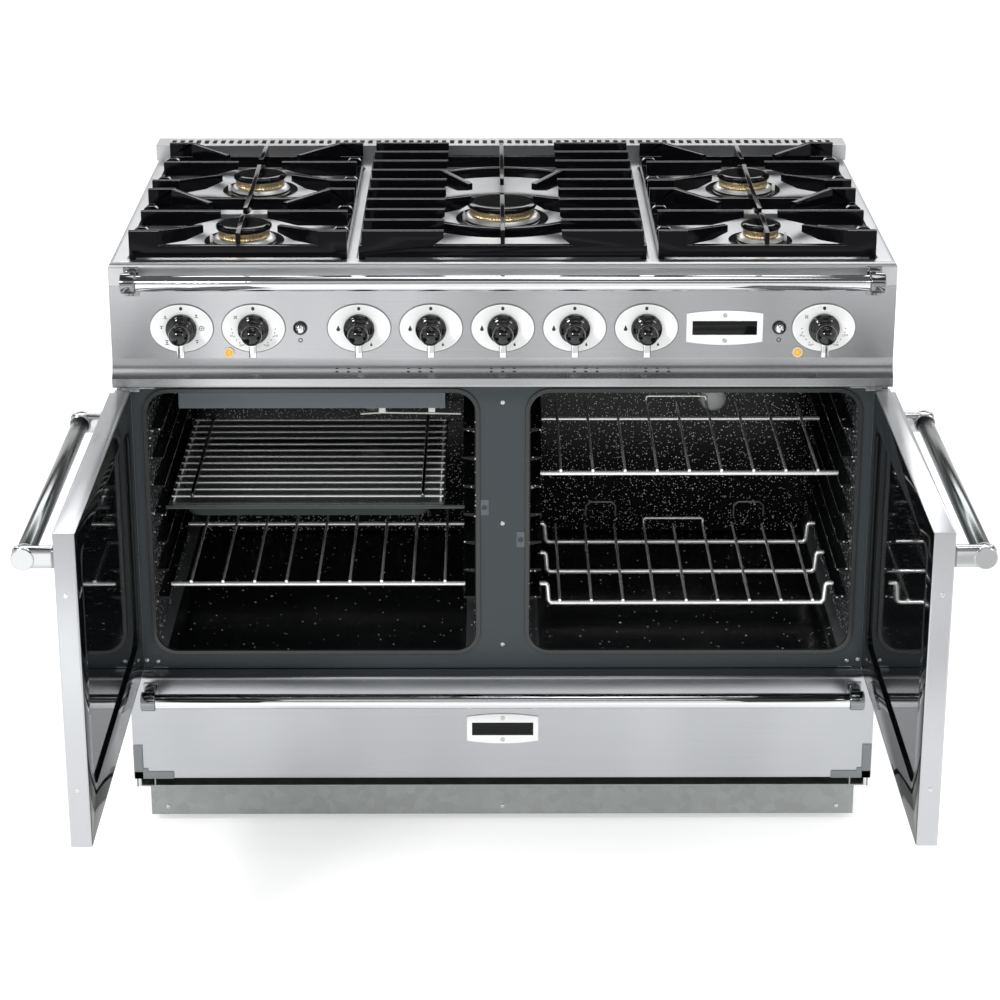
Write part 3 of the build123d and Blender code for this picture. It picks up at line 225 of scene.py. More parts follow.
def wire(name: str, points: Iterable[Corner], radius: float, sides: int = 10) -> bpy.types.Object:
    """Draws a round wire, mitred at each bend.

    Args:
        name: The wire's name.
        points: The points that its middle runs through, in millimetres.
        radius: Its radius.
        sides: How many faces go round.

    Returns:
        The wire.
    """
    path = [mm(*point) for point in points]
    bpy.ops.object.select_all(action="DESELECT")
    first = (path[1] - path[0]).normalized()
    bpy.ops.mesh.primitive_circle_add(
        vertices=sides,
        radius=radius * MM,
        fill_type="NGON",
        location=path[0],
        rotation=first.to_track_quat("Z", "Y").to_euler(),
    )
    piece = named(name)
    bpy.ops.object.mode_set(mode="EDIT")
    bpy.ops.mesh.select_mode(type="VERT")
    bpy.ops.mesh.select_all(action="SELECT")
    for before, after in zip(path, path[1:]):
        bpy.ops.mesh.extrude_region_move(TRANSFORM_OT_translate={"value": after - before})
    bpy.ops.object.mode_set(mode="OBJECT")
    came = first
    turn = Quaternion()
    for k, point in enumerate(path):
        goes = (path[min(k + 1, len(path) - 1)] - path[min(k, len(path) - 2)]).normalized()
        turn = came.rotation_difference(goes) @ turn
        bend = (came + goes).normalized()
        for vertex in piece.data.vertices[k * sides : (k + 1) * sides]:
            spoke = turn @ (vertex.co - point)
            lift = -spoke.dot(bend) / max(goes.dot(bend), 0.2)
            vertex.co = point + spoke + goes * lift
        came = goes
    bpy.ops.object.mode_set(mode="EDIT")
    bpy.ops.mesh.select_all(action="SELECT")
    bpy.ops.mesh.normals_make_consistent(inside=False)
    bpy.ops.object.mode_set(mode="OBJECT")
    smooth(piece, 50)
    return piece


def joined(name: str, pieces: list[bpy.types.Object]) -> bpy.types.Object:
    """Joins pieces of one finish into one object.

    Args:
        name: The name of the whole.
        pieces: The pieces, one or more.

    Returns:
        The first piece, which then holds them all.
    """
    bpy.ops.object.select_all(action="DESELECT")
    for piece in pieces:
        piece.select_set(True)
    bpy.context.view_layer.objects.active = pieces[0]
    if len(pieces) > 1:
        bpy.ops.object.join()
    pieces[0].name = name
    pieces[0].data.name = name
    return pieces[0]


def repeat(piece: bpy.types.Object, name: str, shift: Vector, turn: Matrix) -> bpy.types.Object:
    """Copies a piece with its own mesh to another place.

    Args:
        piece: The piece to copy.
        name: The copy's name.
        shift: How far the copy moves, in metres.
        turn: A turn or a stretch about the world's origin, made before the move.

    Returns:
        The copy.
    """
    alone(piece)
    bpy.ops.object.duplicate(linked=False)
    twin = bpy.context.object
    twin.name = name
    twin.data.name = name
    twin.data.transform(turn.to_4x4())
    bpy.ops.transform.translate(value=shift)
    bpy.ops.object.transform_apply(location=True, rotation=True, scale=True)
    return twin


def cut(piece: bpy.types.Object, tool: bpy.types.Object) -> None:
    """Cuts one solid out of another, and puts the tool away.

    Args:
        piece: The solid that is cut.
        tool: The solid that is taken out of it.
    """
    alone(piece)
    bpy.ops.object.modifier_add(type="BOOLEAN")
    change = piece.modifiers[-1]
    change.operation = "DIFFERENCE"
    change.solver = "EXACT"
    change.object = tool
    bpy.ops.object.modifier_apply(modifier=change.name)
    bpy.data.objects.remove(tool)


def softened(node: str, width: float, steps: int = 2, angle: float = 30.0) -> bpy.types.Object:
    """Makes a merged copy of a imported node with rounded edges, and puts it in the node's place.

    Args:
        node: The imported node's name.
        width: How wide the rounding is, in millimetres.
        steps: How many segments the rounding has.
        angle: Edges sharper than this many degrees are rounded.

    Returns:
        The rounded copy.
    """
    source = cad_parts[node]
    piece = bpy.data.objects.new(f"{node}_formed", source.data.copy())
    bpy.context.scene.collection.objects.link(piece)
    alone(piece)
    bpy.ops.object.mode_set(mode="EDIT")
    bpy.ops.mesh.select_all(action="SELECT")
    bpy.ops.mesh.remove_doubles(threshold=0.00001)
    bpy.ops.mesh.dissolve_limited(angle_limit=math.radians(0.8))
    bpy.ops.mesh.normals_make_consistent(inside=False)
    bpy.ops.object.mode_set(mode="OBJECT")
    round_edges(piece, width, steps, angle)
    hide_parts(node)
    return piece


class Grain(Enum):
    """The small structure of a surface."""

    STROKES = "strokes"
    CAST = "cast"
    SPANGLE = "spangle"
    SPECKS = "specks"


class Wiring:
    """Adds and joins the nodes of one material or node group."""

    def __init__(self, tree: bpy.types.NodeTree) -> None:
        """Takes the tree to wire."""
        self.tree = tree

    def add(self, kind: str, sockets: dict | None = None, **settings: object) -> bpy.types.Node:
        """Adds a node.

        Args:
            kind: The node's type.
            sockets: Values or output sockets for its inputs, by name or number.
            settings: Values for the node's own properties.

        Returns:
            The new node.
        """
        node = self.tree.nodes.new(kind)
        for key, value in settings.items():
            setattr(node, key, value)
        for key, value in (sockets or {}).items():
            if isinstance(value, bpy.types.NodeSocket):
                self.tree.links.new(value, node.inputs[key])
            else:
                node.inputs[key].default_value = value
        return node

    def sum(self, kind: str, first: object, second: object) -> bpy.types.NodeSocket:
        """Adds a Math node of one kind and returns its result."""
        return self.add("ShaderNodeMath", {0: first, 1: second}, operation=kind).outputs[0]

    def vector(self, kind: str, first: object, second: object) -> bpy.types.Node:
        """Adds a Vector Math node of one kind and returns it."""
        return self.add("ShaderNodeVectorMath", {0: first, 1: second}, operation=kind)

    def mix(self, share: object, first: object, second: object, blend: str = "MIX") -> bpy.types.NodeSocket:
        """Adds a Mix node for two colours and returns its result.

        Args:
            share: How much of the second colour shows.
            first: The first colour.
            second: The second colour.
            blend: How the two are blended.

        Returns:
            The mixed colour.
        """
        sockets = {0: share, 6: first, 7: second}
        node = self.add("ShaderNodeMix", sockets, data_type="RGBA", blend_type=blend)
        return node.outputs[2]


def new_group(name: str, inputs: dict[str, str], outputs: dict[str, str]) -> tuple[Wiring, dict, dict]:
    """Makes a shader node group.

    Args:
        name: The group's name.
        inputs: Socket types by name.
        outputs: Socket types by name.

    Returns:
        The group's wiring, its input sockets by name, and its output sockets by name.
    """
    tree = bpy.data.node_groups.new(name, "ShaderNodeTree")
    for label, kind in inputs.items():
        tree.interface.new_socket(name=label, in_out="INPUT", socket_type=kind)
    for label, kind in outputs.items():
        tree.interface.new_socket(name=label, in_out="OUTPUT", socket_type=kind)
    wiring = Wiring(tree)
    source = wiring.add("NodeGroupInput")
    target = wiring.add("NodeGroupOutput")
    return wiring, {k: source.outputs[k] for k in inputs}, {k: target.inputs[k] for k in outputs}


FLOAT = "NodeSocketFloat"
VECTOR = "NodeSocketVector"


def even(value: float) -> Corner:
    """Gives one number to all three axes."""
    return (value, value, value)


def edge_group() -> bpy.types.NodeTree:
    """Makes the group that softens edges and finds where they wear.

    Returns:
        The group, which puts out the softened normal and the wear.
    """
    w, i, o = new_group("soft_edge", {"Radius": FLOAT}, {"Normal": VECTOR, "Wear": FLOAT})
    bevel = w.add("ShaderNodeBevel", {"Radius": i["Radius"]}, samples=4)
    face = w.add("ShaderNodeNewGeometry")
    match = w.vector("DOT_PRODUCT", bevel.outputs[0], face.outputs["Normal"])
    place = w.add("ShaderNodeTexCoord")
    scale, detail, strength = 160.0, 3.0, 9.0
    sockets = {"Vector": place.outputs["Object"], "Scale": scale, "Detail": detail}
    ragged = w.add("ShaderNodeTexNoise", sockets)
    turned = w.sum("SUBTRACT", 1.0, match.outputs["Value"])
    strong = w.sum("MULTIPLY", turned, w.sum("MULTIPLY", ragged.outputs[0], strength))
    clamp = w.add("ShaderNodeClamp", {"Value": strong})
    w.tree.links.new(bevel.outputs[0], o["Normal"])
    w.tree.links.new(clamp.outputs[0], o["Wear"])
    return w.tree


def stretched_noise_group() -> bpy.types.NodeTree:
    """Makes the group for strokes, cast grain and smears: one noise with its own stretch.

    Returns:
        The group, which puts out one value from 0 to 1.
    """
    w, i, o = new_group("stretched_noise", {"Stretch": VECTOR, "Detail": FLOAT}, {"Value": FLOAT})
    place = w.add("ShaderNodeTexCoord")
    spread = w.vector("MULTIPLY", place.outputs["Object"], i["Stretch"])
    noise = w.add("ShaderNodeTexNoise", {"Vector": spread.outputs[0], "Scale": 1.0, "Detail": i["Detail"]})
    w.tree.links.new(noise.outputs[0], o["Value"])
    return w.tree


def specks_group() -> bpy.types.NodeTree:
    """Makes the group for the pale specks in oven enamel: scattered dots of two sizes.

    Returns:
        The group, which puts out the dots, and 1 on the side walls.
    """
    w, i, o = new_group("specks", {"Scale": FLOAT, "Share": FLOAT}, {"Value": FLOAT, "Wall": FLOAT})
    place = w.add("ShaderNodeTexCoord")
    facing = w.add("ShaderNodeSeparateXYZ", {0: w.add("ShaderNodeNewGeometry").outputs["Normal"]})
    slope, on_walls, on_floors = 0.5, 0.95, 0.05
    upright = w.sum("LESS_THAN", w.sum("ABSOLUTE", facing.outputs["Z"], 0.0), slope)
    sideways = w.sum("GREATER_THAN", w.sum("ABSOLUTE", facing.outputs["X"], 0.0), slope)
    share = w.sum("MULTIPLY", i["Share"], w.sum("ADD", w.sum("MULTIPLY", upright, on_walls), on_floors))
    found = []
    for factor, size in ((1.0, 0.26), (2.3, 0.34)):
        scale = w.sum("MULTIPLY", i["Scale"], factor)
        cells = w.add("ShaderNodeTexVoronoi", {"Vector": place.outputs["Object"], "Scale": scale})
        chance = w.add("ShaderNodeSeparateColor", {"Color": cells.outputs["Color"]})
        kept = w.sum("LESS_THAN", chance.outputs[0], share)
        radius = w.sum("MULTIPLY", chance.outputs[1], size)
        dot = w.sum("LESS_THAN", cells.outputs["Distance"], radius)
        found.append(w.sum("MULTIPLY", kept, dot))
    w.tree.links.new(w.sum("MAXIMUM", found[0], found[1]), o["Value"])
    w.tree.links.new(sideways, o["Wall"])
    return w.tree


def spangle_group() -> bpy.types.NodeTree:
    """Makes the group for the zinc crystals of galvanised sheet.

    Returns:
        The group, which puts out one value for each crystal.
    """
    w, i, o = new_group("spangle", {"Scale": FLOAT}, {"Value": FLOAT})
    place = w.add("ShaderNodeTexCoord")
    scale, detail, reach = 30.0, 3.0, 0.02
    shift = w.add("ShaderNodeTexNoise", {"Vector": place.outputs["Object"], "Scale": scale, "Detail": detail})
    bent = w.vector("MULTIPLY", shift.outputs["Color"], even(reach))
    moved = w.vector("ADD", place.outputs["Object"], bent.outputs[0])
    cells = w.add("ShaderNodeTexVoronoi", {"Vector": moved.outputs[0], "Scale": i["Scale"]})
    tone = w.add("ShaderNodeSeparateColor", {"Color": cells.outputs["Color"]})
    w.tree.links.new(tone.outputs[0], o["Value"])
    return w.tree


def painted_highlight_group() -> bpy.types.NodeTree:
    """Makes the group for painted highlights: the roundings between tops and sides, where lamps are
    reflected.

    Returns:
        The group, which puts out 1 in the middle of a rounding.
    """
    w, _, o = new_group("painted_edge_highlight", {}, {"Value": FLOAT})
    facing = w.add("ShaderNodeSeparateXYZ", {0: w.add("ShaderNodeNewGeometry").outputs["Normal"]})
    ramps = []
    for low, high in ((0.4, 0.65), (0.86, 0.97)):
        sockets = {0: facing.outputs["Z"], 1: low, 2: high}
        ramps.append(w.add("ShaderNodeMapRange", sockets, interpolation_type="SMOOTHSTEP").outputs[0])
    w.tree.links.new(w.sum("SUBTRACT", ramps[0], ramps[1]), o["Value"])
    return w.tree


class Groups:
    """The node groups that every finish shares, each made once."""

    made: dict[str, bpy.types.NodeTree] = {}

    @classmethod
    def get(cls, name: str) -> bpy.types.NodeTree:
        """Finds a shared group, and makes it at its first use.

        Args:
            name: The group's short name.

        Returns:
            The group.
        """
        makers = {
            "edge": edge_group,
            "noise": stretched_noise_group,
            "specks": specks_group,
            "spangle": spangle_group,
            "painted_highlight": painted_highlight_group,
        }
        if name not in cls.made:
            cls.made[name] = makers[name]()
        return cls.made[name]

    @classmethod
    def add(cls, w: Wiring, name: str, sockets: dict) -> bpy.types.Node:
        """Adds a shared group to a material, with values for its inputs by name."""
        return w.add("ShaderNodeGroup", sockets, node_tree=cls.get(name))


SMEAR = {"Stretch": (9.0, 11.0, 13.0), "Detail": 4.0}
# Painted reflections: soft clouds of lighter and darker colour, standing in for the surroundings seen in the
# steel.
PAINTED_REFLECTION_NOISE = {"Stretch": (7.0, 3.0, 1.5), "Detail": 1.0}
STROKE_DETAIL = 2.0
CAST_DETAIL = 4.0
COAT_ROUGHNESS = 0.04
LEAST_ROUGHNESS = 0.02
ROUGHNESS_OF_SHADE = 0.4
WALL_COLOUR = (0.06, 0.065, 0.068, 1.0)
SPECK_COLOUR = (0.85, 0.87, 0.88, 1.0)


@dataclass(frozen=True)
class Finish:
    """One finish: its colour, gloss, grain, smears, edge wear, painted reflections and painted highlights."""

    name: str
    colour: Corner
    rough: float
    metal: float = 0.0
    coat: float = 0.0
    grain: Grain = Grain.CAST
    stretch: Corner = even(300.0)
    depth: float = 0.0
    tone: float = 0.0
    smear: float = 0.06
    edge: float = 0.8
    wear: float = 0.15
    # The colour of worn edges, and also of the painted highlight on roundings.
    wear_and_highlight_colour: Corner = even(0.9)
    see_through: float = 0.0
    glow: float = 0.0
    ior: float = 1.5
    specular: float = 0.5
    specks: float = 0.0
    # How strongly the painted reflection clouds lighten and darken the colour.
    painted_reflections: float = 0.0
    # How far the painted highlight on roundings goes towards the pale wear and highlight colour.
    painted_highlight: float = 0.0

    def made(self) -> bpy.types.Material:
        """Returns this finish's material, and builds it at its first use."""
        known = bpy.data.materials.get(f"{self.name}_look")
        return known if known else self.build()

    def build(self) -> bpy.types.Material:
        """Builds the material's nodes.

        Returns:
            The new material.
        """
        material = bpy.data.materials.new(f"{self.name}_look")
        material.use_nodes = True
        w = Wiring(material.node_tree)
        w.tree.nodes.clear()
        shader = w.add("ShaderNodeBsdfPrincipled", self.plain_values())
        w.add("ShaderNodeOutputMaterial", {"Surface": shader.outputs[0]})
        edge = Groups.add(w, "edge", {"Radius": self.edge * MM})
        smears = Groups.add(w, "noise", SMEAR).outputs[0]
        grain = self.grain_value(w)
        shade = w.sum("MULTIPLY", w.sum("SUBTRACT", grain, 0.5), self.tone)
        base = self.base_colour(w, shade, edge)
        uneven = w.sum("MULTIPLY", w.sum("SUBTRACT", smears, 0.5), self.smear * 2)
        rough = w.sum("ADD", w.sum("ADD", uneven, self.rough), w.sum("MULTIPLY", shade, ROUGHNESS_OF_SHADE))
        kept = w.add("ShaderNodeClamp", {"Value": rough, "Min": LEAST_ROUGHNESS})
        bump = w.add("ShaderNodeBump", {"Height": grain, "Distance": self.depth * MM, "Strength": 1.0})
        w.tree.links.new(edge.outputs["Normal"], bump.inputs["Normal"])
        w.tree.links.new(base, shader.inputs["Base Color"])
        w.tree.links.new(kept.outputs[0], shader.inputs["Roughness"])
        w.tree.links.new(bump.outputs[0], shader.inputs["Normal"])
        return material

    def plain_values(self) -> dict[str, object]:
        """Gives the values that stand on the shader's own sockets.

        Returns:
            The values by socket name.
        """
        values = {
            "Metallic": self.metal,
            "IOR": self.ior,
            "Specular IOR Level": self.specular,
            "Coat Weight": self.coat,
            "Coat Roughness": COAT_ROUGHNESS,
            "Transmission Weight": self.see_through,
        }
        if self.glow:
            values["Emission Color"] = (*self.colour, 1.0)
            values["Emission Strength"] = self.glow
        return values

    def base_colour(
        self, w: Wiring, shade: bpy.types.NodeSocket, edge: bpy.types.Node
    ) -> bpy.types.NodeSocket:
        """Adds the nodes of the base colour.

        Args:
            w: The material's wiring.
            shade: How much lighter the grain makes each spot.
            edge: The group that finds the edges where the finish wears.

        Returns:
            The colour, with painted reflections, wear, painted highlights and specks where it has them.
        """
        # Painted reflection: the colour is lightened and darkened in soft clouds, standing in for reflected
        # surroundings.
        reflection_noise = Groups.add(w, "noise", PAINTED_REFLECTION_NOISE).outputs[0]
        painted_reflection = w.sum("MULTIPLY", w.sum("SUBTRACT", reflection_noise, 0.5), self.painted_reflections)
        gain = w.sum("ADD", w.sum("ADD", 1.0, painted_reflection), shade)
        grey = w.add("ShaderNodeCombineColor", {0: gain, 1: gain, 2: gain}).outputs[0]
        tinted = w.mix(1.0, (*self.colour, 1.0), grey, "MULTIPLY")
        # The pale colour of worn edges, also used below for the painted highlight.
        wear_and_highlight = (*self.wear_and_highlight_colour, 1.0)
        base = w.mix(w.sum("MULTIPLY", edge.outputs["Wear"], self.wear), tinted, wear_and_highlight)
        # Painted highlight: the roundings between tops and sides are lightened, standing in for lamps
        # reflected there.
        if self.painted_highlight:
            bright = Groups.add(w, "painted_highlight", {}).outputs[0]
            base = w.mix(w.sum("MULTIPLY", bright, self.painted_highlight), base, wear_and_highlight)
        if self.grain is Grain.SPECKS:
            dots = Groups.add(w, "specks", {"Scale": self.stretch[0], "Share": self.specks})
            base = w.mix(dots.outputs["Wall"], base, WALL_COLOUR)
            base = w.mix(dots.outputs["Value"], base, SPECK_COLOUR)
        return base

    def grain_value(self, w: Wiring) -> bpy.types.NodeSocket:
        """Adds the nodes of the finish's grain.

        Args:
            w: The material's wiring.

        Returns:
            The height of the grain.
        """
        if self.grain is Grain.SPANGLE:
            return Groups.add(w, "spangle", {"Scale": self.stretch[0]}).outputs[0]
        detail = STROKE_DETAIL if self.grain is Grain.STROKES else CAST_DETAIL
        return Groups.add(w, "noise", {"Stretch": self.stretch, "Detail": detail}).outputs[0]


ALONG_X = (4.0, 900.0, 900.0)
# The brushed, hob and satin steels carry painted reflection clouds in their colour.
BRUSHED = Finish(
    "brushed_stainless", (0.38, 0.387, 0.398), rough=0.24, metal=1.0, grain=Grain.STROKES, stretch=ALONG_X,
    depth=0.006, tone=0.14, smear=0.05, painted_reflections=0.7,
)
# Painted light: a lighter copy of the brushed stainless for the hob and vent strip, whose paler colour stands
# in for the brighter light on the hob.
LIT_HOB_STEEL = Finish(
    "lit_hob_stainless", (0.53, 0.537, 0.55), rough=0.34, metal=1.0, grain=Grain.STROKES, stretch=ALONG_X,
    depth=0.006, tone=0.12, smear=0.05, painted_reflections=0.3,
)
BRACKET = Finish(
    "satin_bracket", (0.46, 0.47, 0.475), rough=0.16, metal=1.0, stretch=even(400.0), depth=0.002,
    tone=0.06, smear=0.04,
)
RAIL_END = Finish(
    "rail_bracket", (0.24, 0.25, 0.255), rough=0.12, metal=1.0, stretch=even(400.0), depth=0.002,
    tone=0.06, smear=0.04,
)
SATIN = Finish(
    "satin_stainless", (0.42, 0.43, 0.445), rough=0.3, metal=1.0, grain=Grain.STROKES, stretch=ALONG_X,
    depth=0.005, tone=0.12, smear=0.06, painted_reflections=0.3,
)
SATIN_DOOR = Finish(
    "satin_door_steel", (0.47, 0.48, 0.495), rough=0.3, metal=1.0, grain=Grain.STROKES,
    stretch=(900.0, 5.0, 900.0), depth=0.005, tone=0.1, smear=0.06,
)
BEZEL = Finish(
    "satin_bezel", (0.87, 0.875, 0.875), rough=0.4, metal=0.0, stretch=even(1400.0), depth=0.004,
    tone=0.05, wear=0.05,
)
CHROME = Finish(
    "polished_bar", (0.70, 0.71, 0.72), rough=0.06, metal=1.0, grain=Grain.STROKES,
    stretch=(3.0, 700.0, 700.0), depth=0.001, tone=0.03, smear=0.04, wear=0.05,
)
DARK_BAR = Finish(
    "dark_bar", (0.16, 0.17, 0.17), rough=0.16, metal=1.0, grain=Grain.STROKES,
    stretch=(700.0, 3.0, 700.0), depth=0.002, tone=0.1, smear=0.05, wear=0.25,
)
BRIGHT = Finish(
    "bright_steel", (0.60, 0.61, 0.61), rough=0.22, metal=1.0, stretch=even(500.0), depth=0.004, tone=0.1,
)
WIRE = Finish(
    "bright_wire", (0.92, 0.92, 0.91), rough=0.22, metal=0.75, stretch=even(900.0), depth=0.003, tone=0.12,
    edge=0.4,
)
GALVANISED = Finish(
    "galvanised_steel", (0.30, 0.315, 0.31), rough=0.46, metal=0.9, grain=Grain.SPANGLE,
    stretch=even(70.0), depth=0.002, tone=0.16, smear=0.12,
)
ALUMINIUM = Finish(
    "cast_aluminium", (0.56, 0.56, 0.55), rough=0.42, metal=1.0, stretch=even(1200.0), depth=0.02,
    tone=0.14,
)
BRASS = Finish(
    "brass", (0.74, 0.59, 0.33), rough=0.3, metal=1.0, stretch=even(900.0), depth=0.006, tone=0.2,
    smear=0.1, wear_and_highlight_colour=(0.8, 0.65, 0.36),
)
ZINC = Finish(
    "zinc_pipe", (0.50, 0.50, 0.47), rough=0.38, metal=1.0, stretch=even(400.0), depth=0.006, tone=0.15,
)
SHEATH = Finish(
    "element_metal", (0.07, 0.065, 0.06), rough=0.5, metal=0.7, stretch=even(600.0), depth=0.01, tone=0.4,
)
# The cast iron carries a painted highlight on its roundings.
CAST = Finish(
    "cast_iron", (0.003, 0.003, 0.004), rough=0.08, stretch=even(260.0), depth=0.03, tone=0.3, edge=1.2,
    wear=0.01, wear_and_highlight_colour=(0.76, 0.78, 0.80), specular=0.1, painted_highlight=0.8,
)
BLACK = Finish(
    "black_enamel", (0.003, 0.0035, 0.004), rough=0.07, stretch=even(150.0), depth=0.02, tone=0.2,
    wear=0.03, wear_and_highlight_colour=even(0.25), specular=0.2,
)
PAN = Finish(
    "pan_enamel", (0.05, 0.06, 0.058), rough=0.22, stretch=even(200.0), depth=0.01, tone=0.15, wear=0.05,
    wear_and_highlight_colour=even(0.3),
)
CHARCOAL = Finish(
    "charcoal_enamel", (0.033, 0.042, 0.047), rough=0.32, stretch=even(300.0), depth=0.02, tone=0.12,
    wear=0.08, wear_and_highlight_colour=(0.3, 0.32, 0.33), specular=0.35,
)
OVEN = Finish(
    "speckled_enamel", (0.004, 0.0045, 0.005), rough=0.2, grain=Grain.SPECKS, stretch=even(130.0),
    depth=0.01, tone=0.3, wear=0.05, specular=0.2, specks=0.72,
)
SEAL = Finish(
    "seal_rubber", (0.012, 0.013, 0.014), rough=0.22, stretch=even(500.0), depth=0.03, tone=0.3, wear=0.05,
    wear_and_highlight_colour=even(0.1), specular=0.6,
)
GLASS = Finish(
    "door_glass", (0.005, 0.006, 0.007), rough=0.04, stretch=even(20.0), depth=0.001, tone=0.2, smear=0.02,
    wear=0.02, ior=1.52, specular=0.3,
)
LAMP = Finish(
    "lamp_glass", (0.80, 0.82, 0.82), rough=0.12, stretch=even(120.0), depth=0.02, tone=0.02, smear=0.02,
    see_through=0.3, wear=0.0, ior=1.45,
)
AMBER = Finish(
    "amber_lens", (0.85, 0.42, 0.03), rough=0.18, coat=0.6, stretch=even(400.0), depth=0.01, tone=0.2,
    glow=0.12, wear=0.05,
)
AMBER_RIM = Finish(
    "amber_rim", (0.78, 0.62, 0.36), rough=0.3, coat=0.3, stretch=even(400.0), depth=0.01, tone=0.15,
    wear=0.1,
)
KNOB = Finish(
    "knob_plastic", (0.004, 0.004, 0.005), rough=0.05, stretch=even(60.0), depth=0.002, tone=0.2,
    smear=0.03, wear=0.02, wear_and_highlight_colour=even(0.2), specular=0.6,
)
INK = Finish(
    "printed_black", (0.012, 0.012, 0.014), rough=0.42, stretch=even(900.0), depth=0.002, tone=0.3,
    wear=0.0, edge=0.1,
)
DARK_PLATE = Finish(
    "dark_plate", (0.085, 0.10, 0.11), rough=0.36, metal=0.3, stretch=even(500.0), depth=0.01, tone=0.15,
    wear=0.2, wear_and_highlight_colour=(0.4, 0.42, 0.43),
)
GREY_PLATE = Finish(
    "grey_plate", (0.17, 0.185, 0.19), rough=0.4, metal=0.3, stretch=even(500.0), depth=0.01, tone=0.15,
    wear=0.2, wear_and_highlight_colour=(0.4, 0.42, 0.43),
)
CERAMIC = Finish(
    "white_ceramic", (0.74, 0.73, 0.70), rough=0.28, coat=0.3, stretch=even(600.0), depth=0.008, tone=0.08,
    wear=0.1, wear_and_highlight_colour=(0.5, 0.48, 0.45),
)

CARRIED = {
    "casing_panels": GALVANISED,
    "base_tray": GALVANISED,
    "plinth": GALVANISED,
    "levelling_feet": ZINC,
    "terminal_box": GALVANISED,
    "drawer_box": GALVANISED,
    "hob_tray": LIT_HOB_STEEL,
    "vent_strip": LIT_HOB_STEEL,
    "control_panel": BRUSHED,
    "gas_supply": ZINC,
    "taps_and_switches": ALUMINIUM,
    "oven_fascia": CHARCOAL,
    "left_oven_liner": OVEN,
    "right_oven_liner": OVEN,
    "oven_back_panels": OVEN,
    "shelf_supports": OVEN,
    "door_seals": SEAL,
    "grill_element": SHEATH,
    "grill_deflector": DARK_PLATE,
    "grill_pan": PAN,
    "fan_motors": ZINC,
    "fan_elements": SHEATH,
    "left_oven_fan": BRIGHT,
    "right_oven_fan": BRIGHT,
    "latch_catches": DARK_PLATE,
    "hinge_brackets": BRIGHT,
    "left_door_glass": GLASS,
    "right_door_glass": GLASS,
}


def place(piece: bpy.types.Object, body: str, finish: Finish, slot: str, *nodes: str) -> bpy.types.Object:
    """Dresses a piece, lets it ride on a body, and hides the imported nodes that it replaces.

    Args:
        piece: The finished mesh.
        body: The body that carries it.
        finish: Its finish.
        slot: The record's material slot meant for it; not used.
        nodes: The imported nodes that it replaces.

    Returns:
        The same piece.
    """
    piece.data.materials.clear()
    piece.data.materials.append(finish.made())
    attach(piece, body)
    if nodes:
        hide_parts(*nodes)
    log.info("%s rides on %s", piece.name, body)
    return piece


@dataclass
class PanSupports:
    """The three cast pan supports."""

    rounding: float = 3.0

    def build(self) -> None:
        """Builds each support as a rounded casting."""
        for side in ("left", "centre", "right"):
            piece = softened(f"{side}_pan_support", self.rounding, 3)
            place(piece, f"{side}_support", CAST, "cast_iron")


